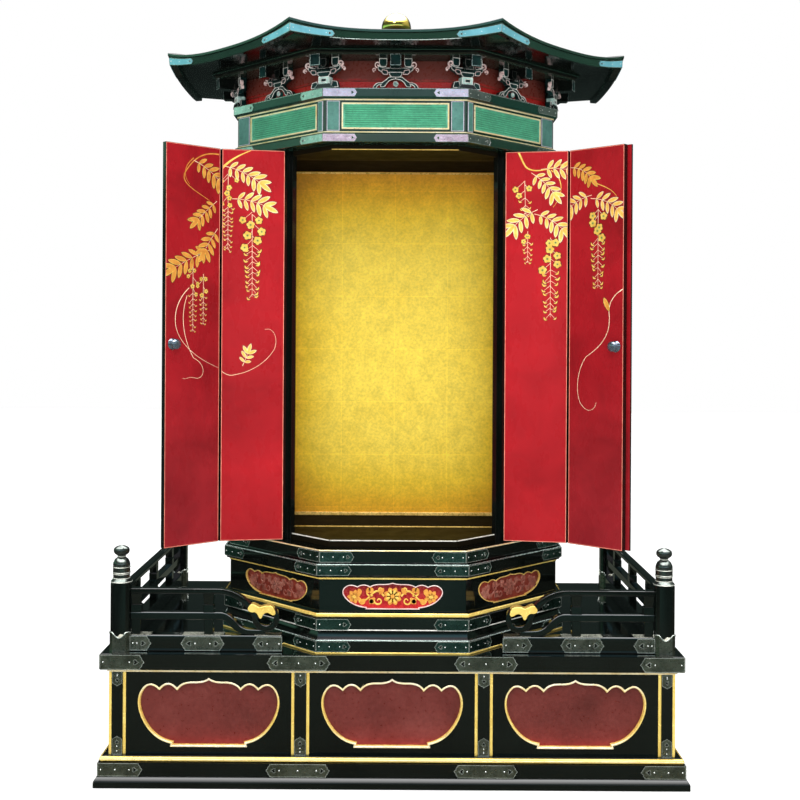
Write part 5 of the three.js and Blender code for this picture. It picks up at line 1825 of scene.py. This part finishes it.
class SHRINE_OT_stage(bpy.types.Operator):
    """Lay the pale floor and set the studio light, the surroundings and the camera"""
    bl_idname = "shrine.stage"
    bl_label = "Stage"

    def execute(self, context):
        scene = context.scene
        deselect()
        bpy.ops.mesh.primitive_plane_add(size=14, location=(0, 3.0, -0.0005))
        floor = context.object
        bpy.ops.object.transform_apply(location=True)
        floor.name = "studio_floor"
        material, tree, shader = finish_material("studio_floor", specular=0.2)
        where = coordinates(tree)
        colored(tree, shader, ramp(tree, noise(tree, where, 2.0), (0.3, 0.90), (0.7, 0.93)))
        roughen(tree, shader, noise(tree, where, 30), 0.6, 0.75)
        shader.inputs["Emission Color"].default_value = (1, 1, 1, 1)
        shader.inputs["Emission Strength"].default_value = 0.48
        floor.data.materials.append(material)
        floor.visible_glossy = False
        self.dark_card()
        self.surroundings(scene)
        self.lights()
        data = bpy.data.cameras.new("camera")
        data.lens = 51.98
        data.sensor_width = 36
        data.shift_x = 0.00375
        data.shift_y = -0.0775
        data.clip_end = 30
        camera = linked("camera", data)
        camera.location = (0.005, -2.3275, 0.786)
        camera.rotation_euler = (pi / 2, -0.00576, 0)
        scene.camera = camera
        scene.view_settings.view_transform = "Standard"
        return {"FINISHED"}

    def dark_card(self):
        """A dark card on the floor before the base: only reflections see it."""
        deselect()
        bpy.ops.mesh.primitive_plane_add(size=1, location=(0, -0.4, 0.0))
        card = bpy.context.object
        card.scale = (6.0, 5.8, 1)
        bpy.ops.object.transform_apply(location=True, rotation=True, scale=True)
        card.name = "dark_card"
        material, tree, shader = finish_material("dark_card", specular=0.0)
        where = coordinates(tree)
        x, y, _ = split(tree, where)
        away = sums(tree, "MULTIPLY", y, -0.3, True)
        tone = ramp(tree, away, (0.34, (0.13, 0.15, 0.115)), (0.46, (0.08, 0.17, 0.145)))
        tone = blend_colors(tree, 1.0, tone, ramp(tree, sums(tree, "ABSOLUTE", x), (0.62, 1.0), (0.90, 0.3)))
        shade = ramp(tree, noise(tree, where, 3.0), (0.3, 0.85), (0.7, 1.1))
        colored(tree, shader, blend_colors(tree, 1.0, tone, shade))
        card.data.materials.append(material)
        card.visible_camera = card.visible_diffuse = card.visible_shadow = False

    def surroundings(self, scene):
        """White to the camera, a neutral glow to matt surfaces, and to reflections a dressed studio:
        dim before the shrine, bright above it, green at its left and pale behind."""
        world = bpy.data.worlds.new("studio")
        world.use_nodes = True
        tree = world.node_tree
        tree.nodes.clear()
        x, y, z = split(tree, tree.nodes.new("ShaderNodeTexCoord").outputs["Generated"])
        rise = sums(tree, "MULTIPLY_ADD", z, 0.5)
        dark = (0.03, 0.045, 0.04)
        before = ramp(tree, rise, (0.30, (0.08, 0.11, 0.10)), (0.42, (0.055, 0.075, 0.062)),
                      (0.566, (0.055, 0.075, 0.062)), (0.583, (1.15, 1.05, 1.15)), (0.604, (1.15, 1.05, 1.15)),
                      (0.616, (0.60, 1.35, 1.60)), (0.640, (0.60, 1.30, 1.50)), (0.67, (0.08, 0.12, 0.11)),
                      (0.79, (0.08, 0.12, 0.11)), (0.87, 8.0))
        behind = ramp(tree, rise, (0.25, dark), (0.72, dark), (0.80, (0.8, 0.9, 0.85)), (0.88, 8.0))
        left = ramp(tree, rise, (0.30, (0.04, 0.06, 0.05)), (0.555, (0.05, 0.08, 0.065)),
                    (0.58, (0.36, 0.90, 0.60)), (0.64, (0.36, 0.90, 0.60)), (0.68, (0.06, 0.09, 0.08)),
                    (0.80, (0.06, 0.09, 0.08)), (0.89, 7.0))
        right = ramp(tree, rise, (0.30, (0.03, 0.05, 0.04)), (0.60, (0.08, 0.14, 0.10)),
                     (0.82, (0.8, 0.9, 0.85)), (0.90, 6.0))
        glow = blend_colors(tree, ramp(tree, sums(tree, "MULTIPLY_ADD", y, 0.5), (0.38, 0), (0.60, 1)), before,
                            behind, "MIX")
        for way, side in ((-1.0, left), (1.0, right)):
            turned_to = ramp(tree, sums(tree, "MULTIPLY", x, way, True), (0.62, 0), (0.86, 1))
            glow = blend_colors(tree, turned_to, glow, side, "MIX")
        ray = tree.nodes.new("ShaderNodeLightPath").outputs
        matt = blend_colors(tree, ray["Is Glossy Ray"], (0.56, 0.56, 0.56), glow, "MIX")
        seen = blend_colors(tree, ray["Is Camera Ray"], matt, (1.0, 1.0, 1.0), "MIX")
        background = add_node(tree, "Background", Color=seen)
        add_node(tree, "OutputWorld", Surface=background.outputs[0])
        scene.world = world

    def lights(self):
        """Soft boxes. Those marked matt light colours and leave no reflection of themselves."""
        lamps = [("key", (0.25, -2.7, 3.0), (50, 0, 5), 2.4, 62, True),
                 ("fill_left", (-2.6, -2.0, 1.5), (78, 0, -52), 1.8, 20, True),
                 ("fill_right", (2.6, -2.1, 1.2), (80, 0, 51), 1.8, 18, True),
                 ("front", (0.0, -3.6, 1.0), (88, 0, 0), 1.6, 26, True),
                 ("gleam", (-0.7, -2.2, 3.2), (42, 0, -16), 0.7, 12, False),
                 ("top", (0.0, 0.6, 3.4), (-8, 0, 0), 2.6, 24, False)]
        for name, place, tilt, size, power, is_matt in lamps:
            data = bpy.data.lights.new(name, "AREA")
            data.size = size
            data.energy = power
            self.hung(name, data, place, tilt, not is_matt)
        for name, height in (("cabinet_spot_low", 0.62), ("cabinet_spot_high", 0.94)):
            data = bpy.data.lights.new(name, "SPOT")
            data.energy = 46
            data.spot_size = radians(21)
            data.spot_blend = 0.9
            data.shadow_soft_size = 0.12
            data.color = (1.0, 0.94, 0.84)
            self.hung(name, data, (0.0, -2.15, height), (90, 0, 0), False)

    def hung(self, name, data, place, tilt, is_seen):
        lamp = linked(name, data)
        lamp.location = place
        lamp.rotation_euler = [radians(a) for a in tilt]
        lamp.visible_glossy = is_seen


# ---- settings and panel


def color_setting(name, text, value):
    return bpy.props.FloatVectorProperty(name=name, description=text, default=value, subtype="COLOR",
                                         min=0.0, max=1.0, size=3)


def size_setting(name, text, value):
    return bpy.props.FloatProperty(name=name, description=text, default=value, min=0.0, max=0.02,
                                   precision=4, unit="LENGTH", subtype="DISTANCE")


class ShrineColors(bpy.types.PropertyGroup):
    """The colours that a user would change."""
    black: color_setting("Black lacquer", "Body colour of the black lacquer", (0.0022, 0.0032, 0.0026))
    red: color_setting("Red lacquer", "Body colour of the doors' red faces", (0.310, 0.0072, 0.0120))
    gold: color_setting("Gold", "Colour of the gilt lines and mouldings", (0.95, 0.66, 0.20))
    fitting: color_setting("Fittings", "Colour of the pierced metal fittings", (0.340, 0.335, 0.275))
    jade: color_setting("Louvres", "Colour of the painted louvres", (0.076, 0.350, 0.205))


class ShrineSizes(bpy.types.PropertyGroup):
    """The sizes that a user would change."""
    edge: size_setting("Eased edge", "How far the lacquered boards' edges are rounded", 0.0010)
    rim: size_setting("Panel rim", "Width of the cusped rims in the base", 0.0030)
    relief: size_setting("Spray relief", "How far the doors' gold sprays stand off the lacquer", 0.0004)
    line: size_setting("Gilt line", "Width of the fine gilt lines on the doors", 0.0011)


class SHRINE_PT_steps(bpy.types.Panel):
    """Lists the shrine's settings and the operators that dress it"""
    bl_label = "Altar Shrine"
    bl_idname = "SHRINE_PT_steps"
    bl_space_type = "VIEW_3D"
    bl_region_type = "UI"
    bl_category = "Shrine"

    def draw(self, context):
        layout = self.layout
        for settings in (context.scene.shrine_sizes, context.scene.shrine_colors):
            box = layout.box()
            for field in settings.__annotations__:
                box.prop(settings, field)
        for step in STEPS:
            layout.operator(step.bl_idname)


STEPS = [
    SHRINE_OT_base,
    SHRINE_OT_base_panels,
    SHRINE_OT_base_fittings,
    SHRINE_OT_balustrade,
    SHRINE_OT_pedestal,
    SHRINE_OT_waist_panels,
    SHRINE_OT_cabinet,
    SHRINE_OT_doors,
    SHRINE_OT_sprays,
    SHRINE_OT_frieze,
    SHRINE_OT_brackets,
    SHRINE_OT_roof,
    SHRINE_OT_stage,
]
CLASSES = [ShrineColors, ShrineSizes, *STEPS, SHRINE_PT_steps]


def register():
    for one in CLASSES:
        bpy.utils.register_class(one)
    bpy.types.Scene.shrine_colors = bpy.props.PointerProperty(type=ShrineColors)
    bpy.types.Scene.shrine_sizes = bpy.props.PointerProperty(type=ShrineSizes)


def unregister():
    del bpy.types.Scene.shrine_sizes
    del bpy.types.Scene.shrine_colors
    for one in reversed(CLASSES):
        bpy.utils.unregister_class(one)


def main():
    register()
    for step in STEPS:
        group, name = step.bl_idname.split(".")
        getattr(getattr(bpy.ops, group), name)()


if __name__ == "__main__":
    main()
